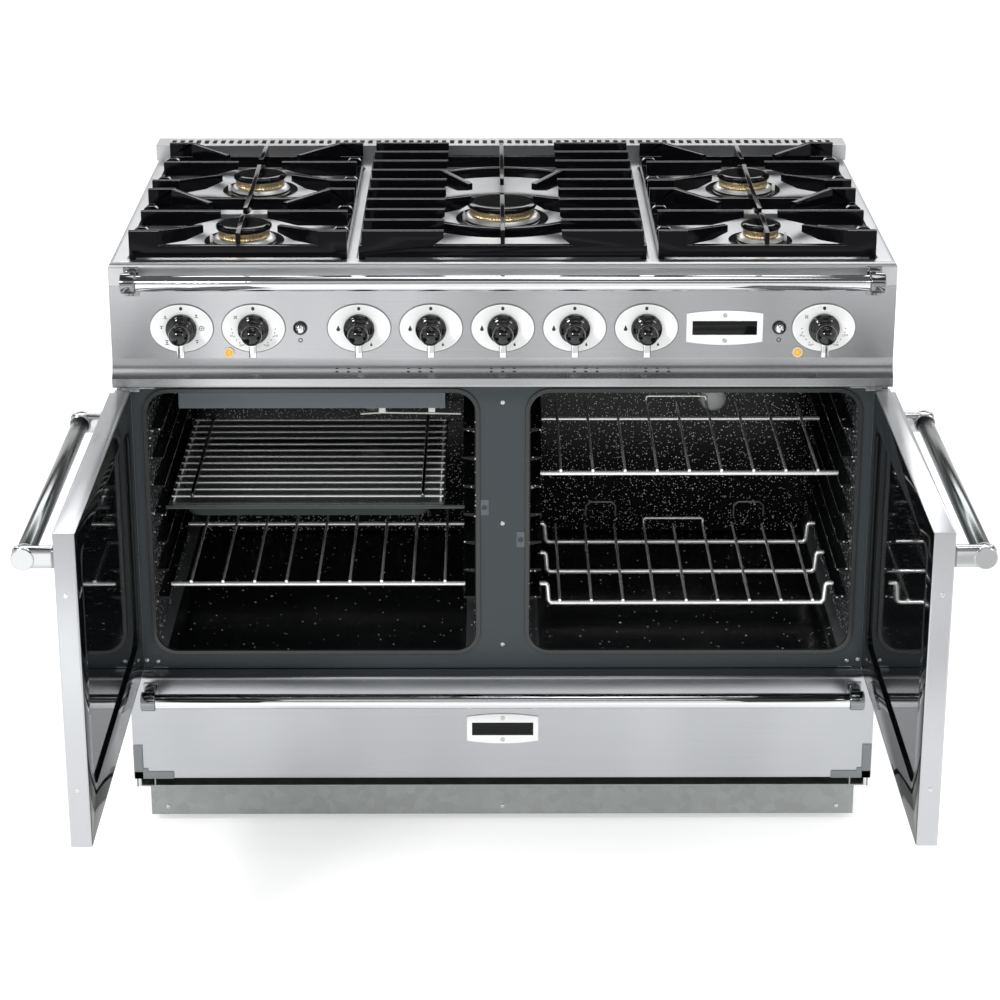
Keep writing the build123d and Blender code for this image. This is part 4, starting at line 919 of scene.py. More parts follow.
@dataclass
class Burner:
    """One gas burner: skirt, cup, brass ring with ports, cap, and spark electrode."""

    name: str
    x: float
    y: float
    radius: float
    electrode_side: int = -1
    stem: float = 14.0
    deck: float = 904.4
    ring_top: float = 914.6

    def build(self) -> list[list[bpy.types.Object]]:
        """Builds the burner.

        Returns:
            Its aluminium, brass, black, and ceramic pieces.
        """
        r = self.radius
        centre = (self.x, self.y, 0.0)
        cup = spun(
            f"{self.name}_cup",
            (
                (0, 868), (self.stem, 868), (self.stem, 896.2), (r + 4, 897.6), (r + 5, 899), (r + 3.4, 901),
                (r + 1.2, 903.2), (r - 1, self.deck), (0, self.deck),
            ),
            centre,
            steps=48,
        )
        skirt = spun(
            f"{self.name}_skirt",
            (
                (14.2, 896.1), (r + 16.4, 896.1), (r + 17, 896.8), (r + 16.2, 897.6), (r + 7, 898.2),
                (r + 5.2, 897.4), (14.2, 896.9), (14.2, 896.1),
            ),
            centre,
            steps=56,
        )
        cap = spun(
            f"{self.name}_cap",
            (
                (0, self.ring_top), (r - 5, self.ring_top), (r - 1.4, 915.2), (r - 0.2, 916.6), (r, 918.4),
                (r - 0.8, 920.6), (r - 3, 922.2), (r - 8, 923), (r * 0.4, 922.6), (0, 922.5),
            ),
            centre,
            steps=64,
        )
        ring = self.ring(centre)
        tip_x = self.x + self.electrode_side * (r + 8) * 0.94
        post = spun(
            f"{self.name}_electrode",
            ((0, 0), (2.5, 0), (2.5, 8.6), (1.9, 10), (1.2, 10.2), (1.0, 13.6), (0, 14)),
            (tip_x, self.y - r / 3, 898),
            steps=16,
        )
        return [[cup], [ring], [cap, skirt], [post]]

    def ring(self, centre: Corner) -> bpy.types.Object:
        """Builds the brass ring, with a port pressed into every other face.

        Args:
            centre: The point on its axis from which its heights run, in millimetres.

        Returns:
            The ring.
        """
        r = self.radius
        ports = 60 if r > 45 else 48 if r > 35 else 34
        piece = spun(
            f"{self.name}_ring",
            (
                (0, self.deck), (r - 4.4, self.deck), (r - 3.2, 905.4), (r - 3.2, 912.4), (r - 2.4, 913.2),
                (r - 2.6, self.ring_top), (0, self.ring_top),
            ),
            centre,
            steps=2 * ports,
        )
        middle = mm(*centre)
        low, high = 906 * MM, 912 * MM

        def port(spot: Vector, normal: Vector) -> bool:
            """Says whether a face carries a port."""
            turn = math.atan2(spot.y - middle.y, spot.x - middle.x) / math.tau * 2 * ports
            return abs(normal.z) < 0.1 and low < spot.z < high and round(turn - 0.5) % 2 == 0

        alone(piece)
        bpy.ops.object.mode_set(mode="EDIT")
        pick(piece, port)
        bpy.ops.mesh.inset(thickness=0.5 * MM, depth=-1.6 * MM, use_individual=True)
        bpy.ops.object.mode_set(mode="OBJECT")
        return piece


@dataclass
class Hob:
    """The five burners and the rest of what stands on the hob."""

    burners: tuple[Burner, ...] = (
        Burner("left_front_burner", -368, FRONT + 127, 40),
        Burner("left_rear_burner", -368, FRONT + 407, 40),
        Burner("centre_burner", 0, FRONT + 245, 51),
        Burner("right_rear_burner", 368, FRONT + 407, 40, electrode_side=1),
        Burner("right_front_burner", 368, FRONT + 127, 28.5, electrode_side=1),
    )

    def build(self) -> None:
        """Builds all the burners, one object to a finish."""
        sets = [burner.build() for burner in self.burners]
        dress = (
            ("burner_cups", ALUMINIUM, "cast_aluminium", ("burner_bases",)),
            ("burner_port_rings", BRASS, "brass", ("burner_rings",)),
            ("burner_cap_discs", BLACK, "black_enamel", ("burner_caps",)),
            ("spark_electrodes", CERAMIC, "cast_aluminium", ()),
        )
        for k, (name, finish, slot, nodes) in enumerate(dress):
            pieces = [piece for group in sets for piece in group[k]]
            place(joined(name, pieces), "cooker", finish, slot, *nodes)


@dataclass
class Control:
    """One knob with its oval bezel and printed marks."""

    name: str
    x: float
    back: float = FRONT - 3.5

    def knob(self) -> None:
        """Builds the black knob: a stepped cone with a ball on its end."""
        outline = [
            (0, 0), (20.9, 0), (21.5, 0.7), (21.5, 5.4), (20.6, 6.6), (19.4, 7), (18.8, 7.4), (18.4, 9.6),
            (17.4, 10.6), (16.2, 11), (15.6, 11.6), (15.2, 14.4), (14.2, 15.6), (13.2, 16.2), (12.6, 17.4),
            (12.2, 19.6), (12.4, 21.4),
        ]
        dome = 14.5
        middle = 32.0
        start, sweep, steps = -40, 130, 9
        for step in range(steps + 1):
            angle = math.radians(start + sweep * step / steps)
            outline.append((dome * math.cos(angle), middle + dome * math.sin(angle)))
        outline[-1] = (0, middle + dome)
        piece = spun(f"{self.name}_knob_turned", outline, (self.x, self.back, PANEL_Z), FORWARDS, 56)
        body = self.name + "_control"
        place(piece, body, KNOB, "knob_plastic", f"{self.name}_knob")
        lever = slab(
            f"{self.name}_lever",
            (self.x - 5.1, self.back - 20.6, PANEL_Z - 36.6),
            (self.x + 5.1, self.back - 13.4, PANEL_Z - 8),
        )
        round_edges(lever, 1.3, 3)
        place(lever, body, CHROME, "polished_bar")

    def bezel(self, width: float, height: float, start: float) -> bpy.types.Object:
        """Builds an oval plate: a rounded rim round a slightly sunk face.

        Args:
            width: Half the oval's width, in millimetres.
            height: Half the oval's height.
            start: How far the plate stands before the panel's face.

        Returns:
            The plate, 1.9 mm thick at its rim.
        """
        bpy.ops.object.select_all(action="DESELECT")
        bpy.ops.mesh.primitive_circle_add(
            vertices=72,
            radius=MM,
            fill_type="NGON",
            location=mm(self.x, FRONT - start, PANEL_Z),
            rotation=UPRIGHT,
        )
        piece = named(f"{self.name}_bezel", (width, height, 1))
        bpy.ops.object.mode_set(mode="EDIT")
        bpy.ops.mesh.select_all(action="SELECT")
        bpy.ops.mesh.extrude_region_move(TRANSFORM_OT_translate={"value": mm(0, -1.4, 0)})
        for inwards, outwards in ((0.5, 0.5), (0.9, 0.0), (0.5, -0.4)):
            bpy.ops.mesh.inset(thickness=inwards * MM, depth=outwards * MM)
        bpy.ops.mesh.select_all(action="SELECT")
        bpy.ops.mesh.normals_make_consistent(inside=False)
        bpy.ops.object.mode_set(mode="OBJECT")
        smooth(piece, 50)
        return piece

    def flat(self, x: float, z: float, size: tuple[float, float], sides: int = 20) -> bpy.types.Object:
        """Adds one flat printed spot beside the knob.

        Args:
            x: Its place to the right of the knob's middle, in millimetres.
            z: Its place above the knob's middle.
            size: Its half width and half height.
            sides: How many corners it has.

        Returns:
            The spot, a fraction of a millimetre thick.
        """
        bpy.ops.object.select_all(action="DESELECT")
        bpy.ops.mesh.primitive_circle_add(
            vertices=sides,
            radius=MM,
            fill_type="NGON",
            location=mm(self.x + x, FRONT - 1.95, PANEL_Z + z),
            rotation=UPRIGHT,
        )
        piece = named("printed_spot", (size[0], size[1], 1))
        bpy.ops.object.mode_set(mode="EDIT")
        bpy.ops.mesh.select_all(action="SELECT")
        bpy.ops.mesh.extrude_region_move(TRANSFORM_OT_translate={"value": mm(0, -0.2, 0)})
        bpy.ops.mesh.select_all(action="SELECT")
        bpy.ops.mesh.normals_make_consistent(inside=False)
        bpy.ops.object.mode_set(mode="OBJECT")
        return piece

    def off_spot(self) -> bpy.types.Object:
        """Adds the large spot above the knob that shows where it is off."""
        return self.flat(0, 28.6, (2.3, 2.6))

    def flame(self, x: float, z: float, size: float) -> bpy.types.Object:
        """Adds a flame mark: a round drop drawn up to a point.

        Args:
            x: Its place to the right of the knob's middle, in millimetres.
            z: Its place above the knob's middle.
            size: The radius of the drop.

        Returns:
            The flame, a fraction of a millimetre thick.
        """
        piece = self.flat(x, z, (size, size), 24)
        top = PANEL_Z + z
        height, narrowing = 1.1, 0.55
        for vertex in piece.data.vertices:
            above = vertex.co.z / MM - top
            if above > 0:
                share = above / size
                vertex.co.z += MM * size * height * share ** 2
                vertex.co.x += (self.x + x - vertex.co.x / MM) * MM * narrowing * share
        return piece

    def number(self, text: str, x: float, z: float, size: float) -> bpy.types.Object:
        """Adds a printed number beside the knob.

        Args:
            text: Its digits.
            x: Its place to the right of the knob's middle, in millimetres.
            z: Its place above the knob's middle.
            size: The size of its letters.

        Returns:
            The number as a mesh.
        """
        bpy.ops.object.select_all(action="DESELECT")
        bpy.ops.object.text_add(location=mm(self.x + x, FRONT - 2.0, PANEL_Z + z), rotation=UPRIGHT)
        label = bpy.context.object
        label.data.body = text
        label.data.size = size * MM
        label.data.align_x = "CENTER"
        label.data.align_y = "CENTER"
        label.data.extrude = 0.08 * MM
        bpy.ops.object.convert(target="MESH")
        return named("printed_number")

    def dot_ring(self, start: float, end: float) -> list[bpy.types.Object]:
        """Adds six dots on an oval arc round the knob.

        Args:
            start: The first dot's angle in degrees, counted upwards from the right.
            end: The last dot's angle.

        Returns:
            The dots.
        """
        wide, high, size, count = 30.5, 30.5 * 0.9, 0.8, 6
        spots = []
        for k in range(count):
            angle = math.radians(start + (end - start) * k / (count - 1))
            spots.append(self.flat(wide * math.cos(angle), high * math.sin(angle), (size, size), 12))
        return spots


@dataclass
class GasControl(Control):
    """A gas tap's knob: an off spot, a large flame and a small flame."""

    def marks(self) -> list[bpy.types.Object]:
        """Builds the tap's marks.

        Returns:
            The spot and the two flames.
        """
        return [
            self.off_spot(),
            self.flame(-29.0, -1.6, 2.7),
            self.flame(16.5, -24.5, 1.7),
        ]


@dataclass
class OvenControl(Control):
    """An oven thermostat's knob: an off spot, a fan mark, and a scale of dots and numbers."""

    def marks(self) -> list[bpy.types.Object]:
        """Builds the thermostat's marks.

        Returns:
            The spots, the dots and the numbers.
        """
        spots = [self.off_spot()]
        for dx, dz in ((-1.5, 1.5), (1.5, 1.5), (-1.5, -1.5), (1.5, -1.5), (0, 0)):
            spots.append(self.flat(-24.5 + dx, 16 + dz, (0.9, 0.9), 8))
        spots += self.dot_ring(-178, -118)
        spots += self.dot_ring(-62, -2)
        wide, high, letter = 33.2, 29.0, 4.0
        for text, angle in (("50", -160), ("100", -124), ("200", -56), ("250", -20)):
            turn = math.radians(angle)
            spots.append(self.number(text, wide * math.cos(turn), high * math.sin(turn) - 1, letter))
        return spots


@dataclass
class FunctionControl(Control):
    """The grill and function knob: an off spot and seven function marks."""

    def marks(self) -> list[bpy.types.Object]:
        """Builds the function marks: a dot with bars at each place, and one in a circle of dots.

        Returns:
            The off spot, the dots and the bars.
        """
        spots = [self.off_spot()]
        bar = (3.0, 0.75)
        bar_rise = 2.7
        for x, z, over, under in (
            (-22, 17, False, True),
            (21, 19, False, True),
            (-28, 0.5, True, False),
            (-21, -20.5, True, True),
            (21, -20.5, True, False),
        ):
            spots.append(self.flat(x, z, (1.2, 1.2), 10))
            if over:
                spots.append(self.flat(x, z + bar_rise, bar, 4))
            if under:
                spots.append(self.flat(x, z - bar_rise, bar, 4))
        ring_x, ring, count = 28, 3.2, 12
        for k in range(count):
            angle = math.tau * k / count
            spots.append(self.flat(ring_x + ring * math.cos(angle), ring * math.sin(angle), (0.7, 0.7), 8))
        spots.append(self.flat(ring_x, 0, (1.1, 1.1), 10))
        return spots


@dataclass
class ControlPanel:
    """The knobs, bezels, printed marks, push buttons and neon lamps of the control panel."""

    controls: tuple[Control, ...] = (
        FunctionControl("grill_function", -447),
        OvenControl("left_oven", -347),
        GasControl("left_front_burner", -200),
        GasControl("left_rear_burner", -100),
        GasControl("centre_burner", 0),
        GasControl("right_rear_burner", 100),
        GasControl("right_front_burner", 200),
        OvenControl("right_oven", 447),
    )
    bezel_plate: Corner = (43.7, 34.2, 0.5)
    # A dark grey ring under each bezel, a little wider than it: painted shadow standing in for the thin
    # shadow round the bezel's edge.
    bezel_shadow_ring: Corner = (44.9, 35.4, 0)
    button_places: tuple[tuple[str, str, float], ...] = (
        ("ignition", "ignition_button", -282),
        ("light", "oven_light_button", 385),
    )
    neon_places: tuple[tuple[str, float], ...] = (("left", -382), ("right", 412))
    neon_z: float = 770.0
    mark_pitch: float = 16.0
    mark_rows: Outline = ((747.3, 0.9), (743.3, 1.2))

    def build(self) -> None:
        """Builds everything on the panel."""
        bezels = []
        rims = []
        marks = []
        for control in self.controls:
            control.knob()
            bezels.append(control.bezel(*self.bezel_plate))
            rims.append(control.bezel(*self.bezel_shadow_ring))
            marks += control.marks()
        place(joined("bezel_plates", bezels), "cooker", BEZEL, "satin_bezel", "knob_bezels")
        # Painted shadow: the dark grey rings round the bezels.
        place(joined("bezel_shadow_rings", rims), "cooker", GREY_PLATE, "satin_bezel")
        circle = ((2.0, 0), (3.2, 0), (3.2, 0.2), (2.0, 0.2), (2.0, 0))
        for _, _, x in self.button_places:
            marks.append(spun("button_mark", circle, (x, FRONT, PANEL_Z - 18), FORWARDS, 24))
        for x, left_steps in ((-200, 2), (-100, 2), (0, 1), (100, 0), (200, 0)):
            for step in range(3):
                marks += self.burner_mark(x + self.mark_pitch * (step - left_steps))
        place(joined("printed_marks", marks), "cooker", INK, "knob_plastic")
        self.buttons()
        self.neons()

    def burner_mark(self, x: float) -> list[bpy.types.Object]:
        """Adds a pair of small printed spots on the curve under a gas knob.

        Args:
            x: The pair's place across the cooker, in millimetres.

        Returns:
            The two spots.
        """
        spots = []
        half_width = 2.4
        for z, half_height in self.mark_rows:
            bpy.ops.object.select_all(action="DESELECT")
            tilt = math.asin((CURVE_TOP - z) / CURVE_RADIUS)
            y = FRONT - CURVE_RADIUS + CURVE_RADIUS * math.cos(tilt)
            bpy.ops.mesh.primitive_cylinder_add(
                vertices=14,
                radius=MM,
                depth=0.5 * MM,
                location=mm(x, y, z),
                rotation=(math.radians(90) - tilt, 0, 0),
            )
            spots.append(named("burner_spot", (half_width, half_height, 1)))
        return spots

    def buttons(self) -> None:
        """Builds the two push buttons: a black ring on the panel, and a chrome ball that travels."""
        for name, node, x in self.button_places:
            ring = spun(
                f"{name}_button_ring",
                ((6.6, 0), (10, 0), (10, 1.4), (9.4, 2.6), (8.2, 3.2), (7.0, 2.6), (6.6, 1.2), (6.6, 0)),
                (x, FRONT, PANEL_Z),
                FORWARDS,
                40,
            )
            place(ring, "cooker", KNOB, "button_plastic")
            ball = spun(
                f"{name}_button_ball",
                (
                    (0, -12.7), (4.9, -12.7), (4.9, 3.3), (5.9, 4.2), (6.2, 6.0), (5.8, 7.8), (4.6, 9.2),
                    (2.6, 9.9), (0, 10),
                ),
                (x, FRONT, PANEL_Z),
                FORWARDS,
                36,
            )
            place(ball, f"{name}_push", CHROME, "button_plastic", node)

    def neons(self) -> None:
        """Builds the two amber neon lamps in their rims."""
        rim = ((4.6, 0), (7.6, 0), (7.6, 1.6), (6.9, 2.6), (5.6, 2.9), (4.6, 2.2), (4.6, 0))
        lens = ((0, -12), (4.4, -12), (4.4, 1.8), (3.8, 2.6), (2.4, 3), (0, 3))
        rims = []
        lenses = []
        for side, x in self.neon_places:
            spot = (x, FRONT, self.neon_z)
            rims.append(spun(f"{side}_neon_rim", rim, spot, FORWARDS, 36))
            lenses.append(spun(f"{side}_neon_lens", lens, spot, FORWARDS, 30))
        place(joined("neon_rims", rims), "cooker", AMBER_RIM, "amber_lens")
        place(joined("neon_lenses", lenses), "cooker", AMBER, "amber_lens", "neon_lamps")


@dataclass
class Rail:
    """A polished rail across the front with a chrome bracket at each end."""

    name: str
    height: float
    body: str
    node: str
    reach: float = 503.5
    bracket_x: float = 514.0
    stand_off: float = 34.0
    radius: float = 11.0
    collar: tuple[float, float] = (14.0, 10.5)
    arm: tuple[float, float] = (8.5, 11.0)
    foot: Corner = (10.5, 28.0, 14.0)

    def build(self) -> None:
        """Builds the rail and its brackets."""
        y = FRONT - self.stand_off
        z = self.height
        bar = drum(f"{self.name}_bar", (-self.reach, y, z), (self.reach, y, z), self.radius, 48)
        round_edges(bar, 0.6, 2)
        place(bar, self.body, CHROME, "polished_bar", self.node)
        ends = []
        for side in (-1, 1):
            ends += self.bracket(side * self.bracket_x, y, z)
        place(joined(f"{self.name}_brackets", ends), self.body, RAIL_END, "polished_bar")

    def bracket(self, x: float, y: float, z: float) -> list[bpy.types.Object]:
        """Builds one bracket round a point on the rail's middle.

        Args:
            x: The point's place across the cooker, in millimetres.
            y: Its place from front to back.
            z: Its height.

        Returns:
            The collar, the arm and the foot on the steel.
        """
        radius, half = self.collar
        collar = drum(f"{self.name}_collar", (x - half, y, z), (x + half, y, z), radius, 48)
        round_edges(collar, 1.8, 3)
        half, rise = self.arm
        arm = slab(f"{self.name}_arm", (x - half, y + 4, z - rise), (x + half, FRONT - 1.6, z + rise))
        round_edges(arm, 3.5, 4)
        half, below, above = self.foot
        foot = slab(f"{self.name}_foot", (x - half, FRONT - 2, z - below), (x + half, FRONT, z + above))
        round_edges(foot, 0.9, 2)
        return [collar, arm, foot]


@dataclass
class Door:
    """One oven door: rounded steel skin, pressed liner, and a handle bar on two blocks."""

    side: int
    handle_z: float = 665.0
    skin_x: float = HALF + 8
    bar_out: float = 41.0
    bar_end: float = 15.0
    bar_radius: float = 12.0
    block_half: float = 14.2

    def build(self) -> None:
        """Builds the door's pieces on its body."""
        name = "left" if self.side < 0 else "right"
        body = f"{name}_door"
        skin = softened(f"{name}_door_skin", 0.9, 2)
        place(skin, body, SATIN_DOOR, "satin_stainless")
        liner = softened(f"{name}_door_liner", 1.3, 3)
        place(liner, body, BLACK, "black_enamel")
        x = self.side * (self.skin_x + self.bar_out)
        z = self.handle_z
        near, far = OPEN_DOOR_EDGE + self.bar_end, -29.5 - self.bar_end
        bar = drum(f"{name}_handle_bar", (x, near + 20, z), (x, far - 20, z), self.bar_radius, 48)
        round_edges(bar, 0.5, 2)
        place(bar, body, DARK_BAR, "polished_bar", f"{name}_door_handle")
        ends = []
        for y, step in ((near, 1), (far, -1)):
            ends += self.handle_end(name, x, y, step)
        place(joined(f"{name}_handle_ends", ends), body, BRACKET, "polished_bar")

    def handle_end(self, name: str, x: float, y: float, step: int) -> list[bpy.types.Object]:
        """Builds the round end of the bar and the block that carries it.

        Args:
            name: The door's side.
            x: The bar's place across the cooker.
            y: The outer face of this end.
            step: The way from that face to the bar's middle, 1 or -1.

        Returns:
            The end cap and the block.
        """
        outer = spun(
            f"{name}_handle_end",
            (
                (0, 0), (13.4, 0), (14.5, 0.7), (14.9, 2), (14.9, 18), (14.4, 19.4), (13.4, 20), (12.4, 19.6),
                (12.1, 17), (0, 17),
            ),
            (x, y, self.handle_z),
            (0, step, 0),
            48,
        )
        inner = self.side * self.skin_x
        tip = x + self.side * 14
        arm = slab(
            f"{name}_handle_arm",
            (min(inner, tip), min(y + step, y + step * 18), self.handle_z - self.block_half),
            (max(inner, tip), max(y + step, y + step * 18), self.handle_z + self.block_half),
        )
        round_edges(arm, 6.5, 5)
        return [outer, arm]


@dataclass
class Drawer:
    """The drawer's rounded steel front, and the corner plates and pegs at its two ends."""

    low: float = 105.6
    outer: float = 544.5
    inner: float = 486.0
    upright: float = 531.0
    upright_top: float = 161.0
    foot_height: float = 12.0
    peg: Corner = (538.0, FRONT + 9, 89.0)

    def corner(self, side: int) -> list[bpy.types.Object]:
        """Builds the three overlapping strips of one corner plate.

        Args:
            side: -1 for the left end of the drawer and 1 for the right one.

        Returns:
            The strips.
        """
        front, back = FRONT - 1.2, FRONT
        outer, inner, upright = side * self.outer, side * self.inner, side * self.upright
        web = upright - side * 7
        strips = (
            ("corner_plate_0", outer, upright, front, self.low, self.upright_top),
            ("corner_plate_1", outer, inner, front, self.low, self.low + self.foot_height),
            ("corner_web", upright, web, FRONT - 1.1, self.low + 9, self.low + 17),
        )
        plates = []
        for name, first, last, face, low, high in strips:
            plates.append(slab(name, (min(first, last), face, low), (max(first, last), back, high)))
        return plates

    def build(self) -> None:
        """Builds the front, the corner plates and their pegs."""
        place(softened("drawer_front", 0.8, 2), "drawer", SATIN, "satin_stainless")
        plates = []
        pegs = []
        x, y, foot = self.peg
        for side in (-1, 1):
            pegs.append(drum("corner_peg", (side * x, y, foot), (side * x, y, self.low - 0.2), 2.6, 20))
            plates += self.corner(side)
        piece = joined("drawer_corner_plates", plates)
        round_edges(piece, 0.5, 2)
        place(piece, "drawer", GREY_PLATE, "bright_steel")
        piece = joined("drawer_pegs", pegs)
        round_edges(piece, 0.6, 2)
        place(piece, "drawer", BRIGHT, "bright_steel")


@dataclass
class Badge:
    """A bare badge plate with bulged edges, and a dark panel on it."""

    name: str
    x: float
    z: float
    width: float
    height: float
    body: str
    bulge: float = 4.5
    panel_half: tuple[float, float] = (45.0, 10.2)

    def build(self) -> None:
        """Builds the plate and its dark panel."""
        bpy.ops.object.select_all(action="DESELECT")
        bpy.ops.mesh.primitive_grid_add(
            x_subdivisions=20,
            y_subdivisions=2,
            size=MM,
            location=mm(self.x, FRONT, self.z),
            rotation=UPRIGHT,
        )
        plate = named(f"{self.name}_plate", (self.width, self.height - 2 * self.bulge, 1))
        half_width = self.width / 2
        half_height = self.height / 2 - self.bulge
        for vertex in plate.data.vertices:
            across = (vertex.co.x / MM - self.x) / half_width
            rise = (vertex.co.z / MM - self.z) / half_height
            vertex.co.z += rise * self.bulge * (1 - across * across) * MM
        alone(plate)
        bpy.ops.object.mode_set(mode="EDIT")
        bpy.ops.mesh.select_all(action="SELECT")
        bpy.ops.mesh.extrude_region_move(TRANSFORM_OT_translate={"value": mm(0, -2, 0)})
        bpy.ops.mesh.select_all(action="SELECT")
        bpy.ops.mesh.normals_make_consistent(inside=False)
        bpy.ops.object.mode_set(mode="OBJECT")
        round_edges(plate, 0.6, 2)
        place(plate, self.body, BEZEL, "satin_bezel")
        wide, high = self.panel_half
        panel = slab(
            f"{self.name}_panel",
            (self.x - wide, FRONT - 2.5, self.z - high),
            (self.x + wide, FRONT - 1.9, self.z + high),
        )
        round_edges(panel, 0.2, 2)
        place(panel, self.body, BLACK, "satin_bezel")


@dataclass
class Screws:
    """All the small screws, copied from one: a round head with a cross."""

    radius: float = 3.4
    proud: float = 1.6

    def pattern(self) -> bpy.types.Object:
        """Models one screw head at the world's origin, facing -Y.

        Returns:
            The screw head that is copied.
        """
        head = spun(
            "screw_pattern",
            (
                (0, 0), (self.radius, 0), (self.radius, 0.5), (self.radius * 0.86, 1.1),
                (self.radius * 0.5, 1.5), (0, self.proud),
            ),
            (0, 0, 0),
            FORWARDS,
            20,
        )
        for half_x, half_z in ((0.4, 2.2), (2.2, 0.4)):
            tool = slab("screw_cross", (-half_x, -3, -half_z), (half_x, -0.9, half_z))
            cut(head, tool)
        smooth(head, 30)
        return head

    def build(self) -> None:
        """Copies the screw to each of its places, flattened where it sits in a door's edge."""
        head = self.pattern()
        turned = Matrix.Rotation(math.radians(25), 3, "Y")
        flush = Matrix.Scale(0.2, 3, Vector((0, 1, 0))) @ turned
        door_x, door_heights = HALF - 5, (622.7, 354.0)
        badge = FRONT - 2
        plinth = FRONT + 60
        sets = {
            "left_door": [(-door_x, OPEN_DOOR_EDGE, z) for z in door_heights],
            "right_door": [(door_x, OPEN_DOOR_EDGE, z) for z in door_heights],
            "drawer": [(0, badge, DRAWER_BADGE_Z + rise) for rise in (17.5, -17.5)],
            "cooker": [
                *((BADGE_X, badge, PANEL_Z + rise) for rise in (18.5, -18.5)),
                *((0, FASCIA, z) for z in (685.0, 500.0, 309.0)),
                *((x, FASCIA, 284.0) for x in (-522, 522)),
                *((x, FASCIA, 282.0) for x in (-506, 506)),
                *((x, plinth, 27.0) for x in (0, -505, 505)),
            ],
        }
        for body, spots in sets.items():
            turn = flush if body.endswith("door") else turned
            made = [repeat(head, "screw", mm(*spot), turn) for spot in spots]
            place(joined(f"{body}_screws", made), body, BRIGHT, "bright_steel")
        bpy.data.objects.remove(head)


@dataclass
class WireWork:
    """The oven shelves and the grill trivet, drawn in round bright wire."""

    bar: float = 3.5
    thin: float = 2.2
    first: float = 377.0
    pitch: float = 43.6
    reach: float = 217.0
    spacing: float = 46.8
    drop: float = 31.0
    bar_depths: tuple[float, ...] = (58.0, 292.0)
    middle_depth: float = 175.0

    def shelf(self, node: str, body: str, side: int, level: int, dropped: bool) -> None:
        """Builds one shelf.

        Args:
            node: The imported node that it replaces.
            body: The body that carries it.
            side: -1 for the left oven and 1 for the right one.
            level: The runner it lies on, counted from the lowest.
            dropped: Whether its middle hangs below its ends.
        """
        middle = side * OVEN_X
        rest = self.first + self.pitch * level + 0.3 + self.bar
        bar_z = rest - (self.drop if dropped else 0)
        thin_z = bar_z + self.bar + self.thin - 0.6
        wires = []
        for depth in self.bar_depths + ((self.middle_depth,) if dropped else ()):
            y = FASCIA + depth
            half = [(self.reach, y, bar_z)]
            if dropped:
                half = [
                    (self.reach, y, rest), (208.5, y, rest), (205.5, y, rest - 3), (204, y, bar_z + 5),
                    (200, y, bar_z),
                ]
            wires.append(wire("shelf_bar", self.both_halves(half, middle), self.bar, 14))
        for k in range(9):
            x = middle + self.spacing * (k - 4)
            run = [(x, FASCIA + 54.5, thin_z), (x, FASCIA + 352, thin_z)]
            wires.append(wire("shelf_wire", run, self.thin, 12))
        foot = FASCIA + 354
        half = [
            (self.spacing, foot - 6, thin_z), (self.spacing, foot - 1, thin_z + 1),
            (self.spacing, foot, thin_z + 4), (self.spacing, foot, thin_z + 8),
            (self.spacing - 3, foot, thin_z + 10),
        ]
        wires.append(wire("shelf_stop", self.both_halves(half, middle), self.thin, 12))
        place(joined(f"{node}_wires", wires), body, WIRE, "bright_wire", node)

    def both_halves(self, half: list[Corner], middle: float) -> list[Corner]:
        """Makes a wire's route from its right half, with the left half mirrored before it.

        Args:
            half: Points from the right end inwards, with X counted from the middle.
            middle: The middle's place across the cooker.

        Returns:
            The route from left to right.
        """
        left = [(middle - x, y, z) for x, y, z in half]
        right = [(middle + x, y, z) for x, y, z in reversed(half)]
        return left + right

    def trivet(self) -> None:
        """Builds the trivet: thirteen cross wires, two side bars and two lifting bars."""
        z = self.first + self.pitch * 3 + 9.8
        middle = -OVEN_X - 12
        start, end = FASCIA + 46, FASCIA + 388
        side_x, lift_x, wire_x = 194, 168, 198
        top = z + 10
        radius = 2
        wires = []
        lifts = []
        for side in (-1, 1):
            x = middle + side * side_x
            wires.append(wire("trivet_side", [(x, start, z), (x, end, z)], radius, 12))
            x = middle + side * lift_x
            route = [
                (x, start + 4, z + 4), (x, start + 5, top - 2), (x, start + 9, top),
                (x, end - 9, top), (x, end - 5, top - 2), (x, end - 4, z + 4),
            ]
            lifts.append(wire("trivet_lift", route, 2.6, 12))
        for k in range(13):
            y = start + (end - start) * (k + 0.3) / 12.6
            run = [(middle - wire_x, y, z + 3.6), (middle + wire_x, y, z + 3.6)]
            wires.append(wire("trivet_wire", run, radius, 12))
        place(joined("grill_trivet_wires", wires), "grill_tray", WIRE, "bright_wire", "grill_trivet")
        place(joined("grill_trivet_lifts", lifts), "grill_tray", DARK_BAR, "bright_wire")

    def build(self) -> None:
        """Builds the three shelves and the trivet."""
        self.shelf("left_oven_shelf", "left_shelf", -1, 0, False)
        self.shelf("right_upper_shelf", "upper_shelf", 1, 4, False)
        self.shelf("right_dropped_shelf", "dropped_shelf", 1, 0, True)
        self.trivet()


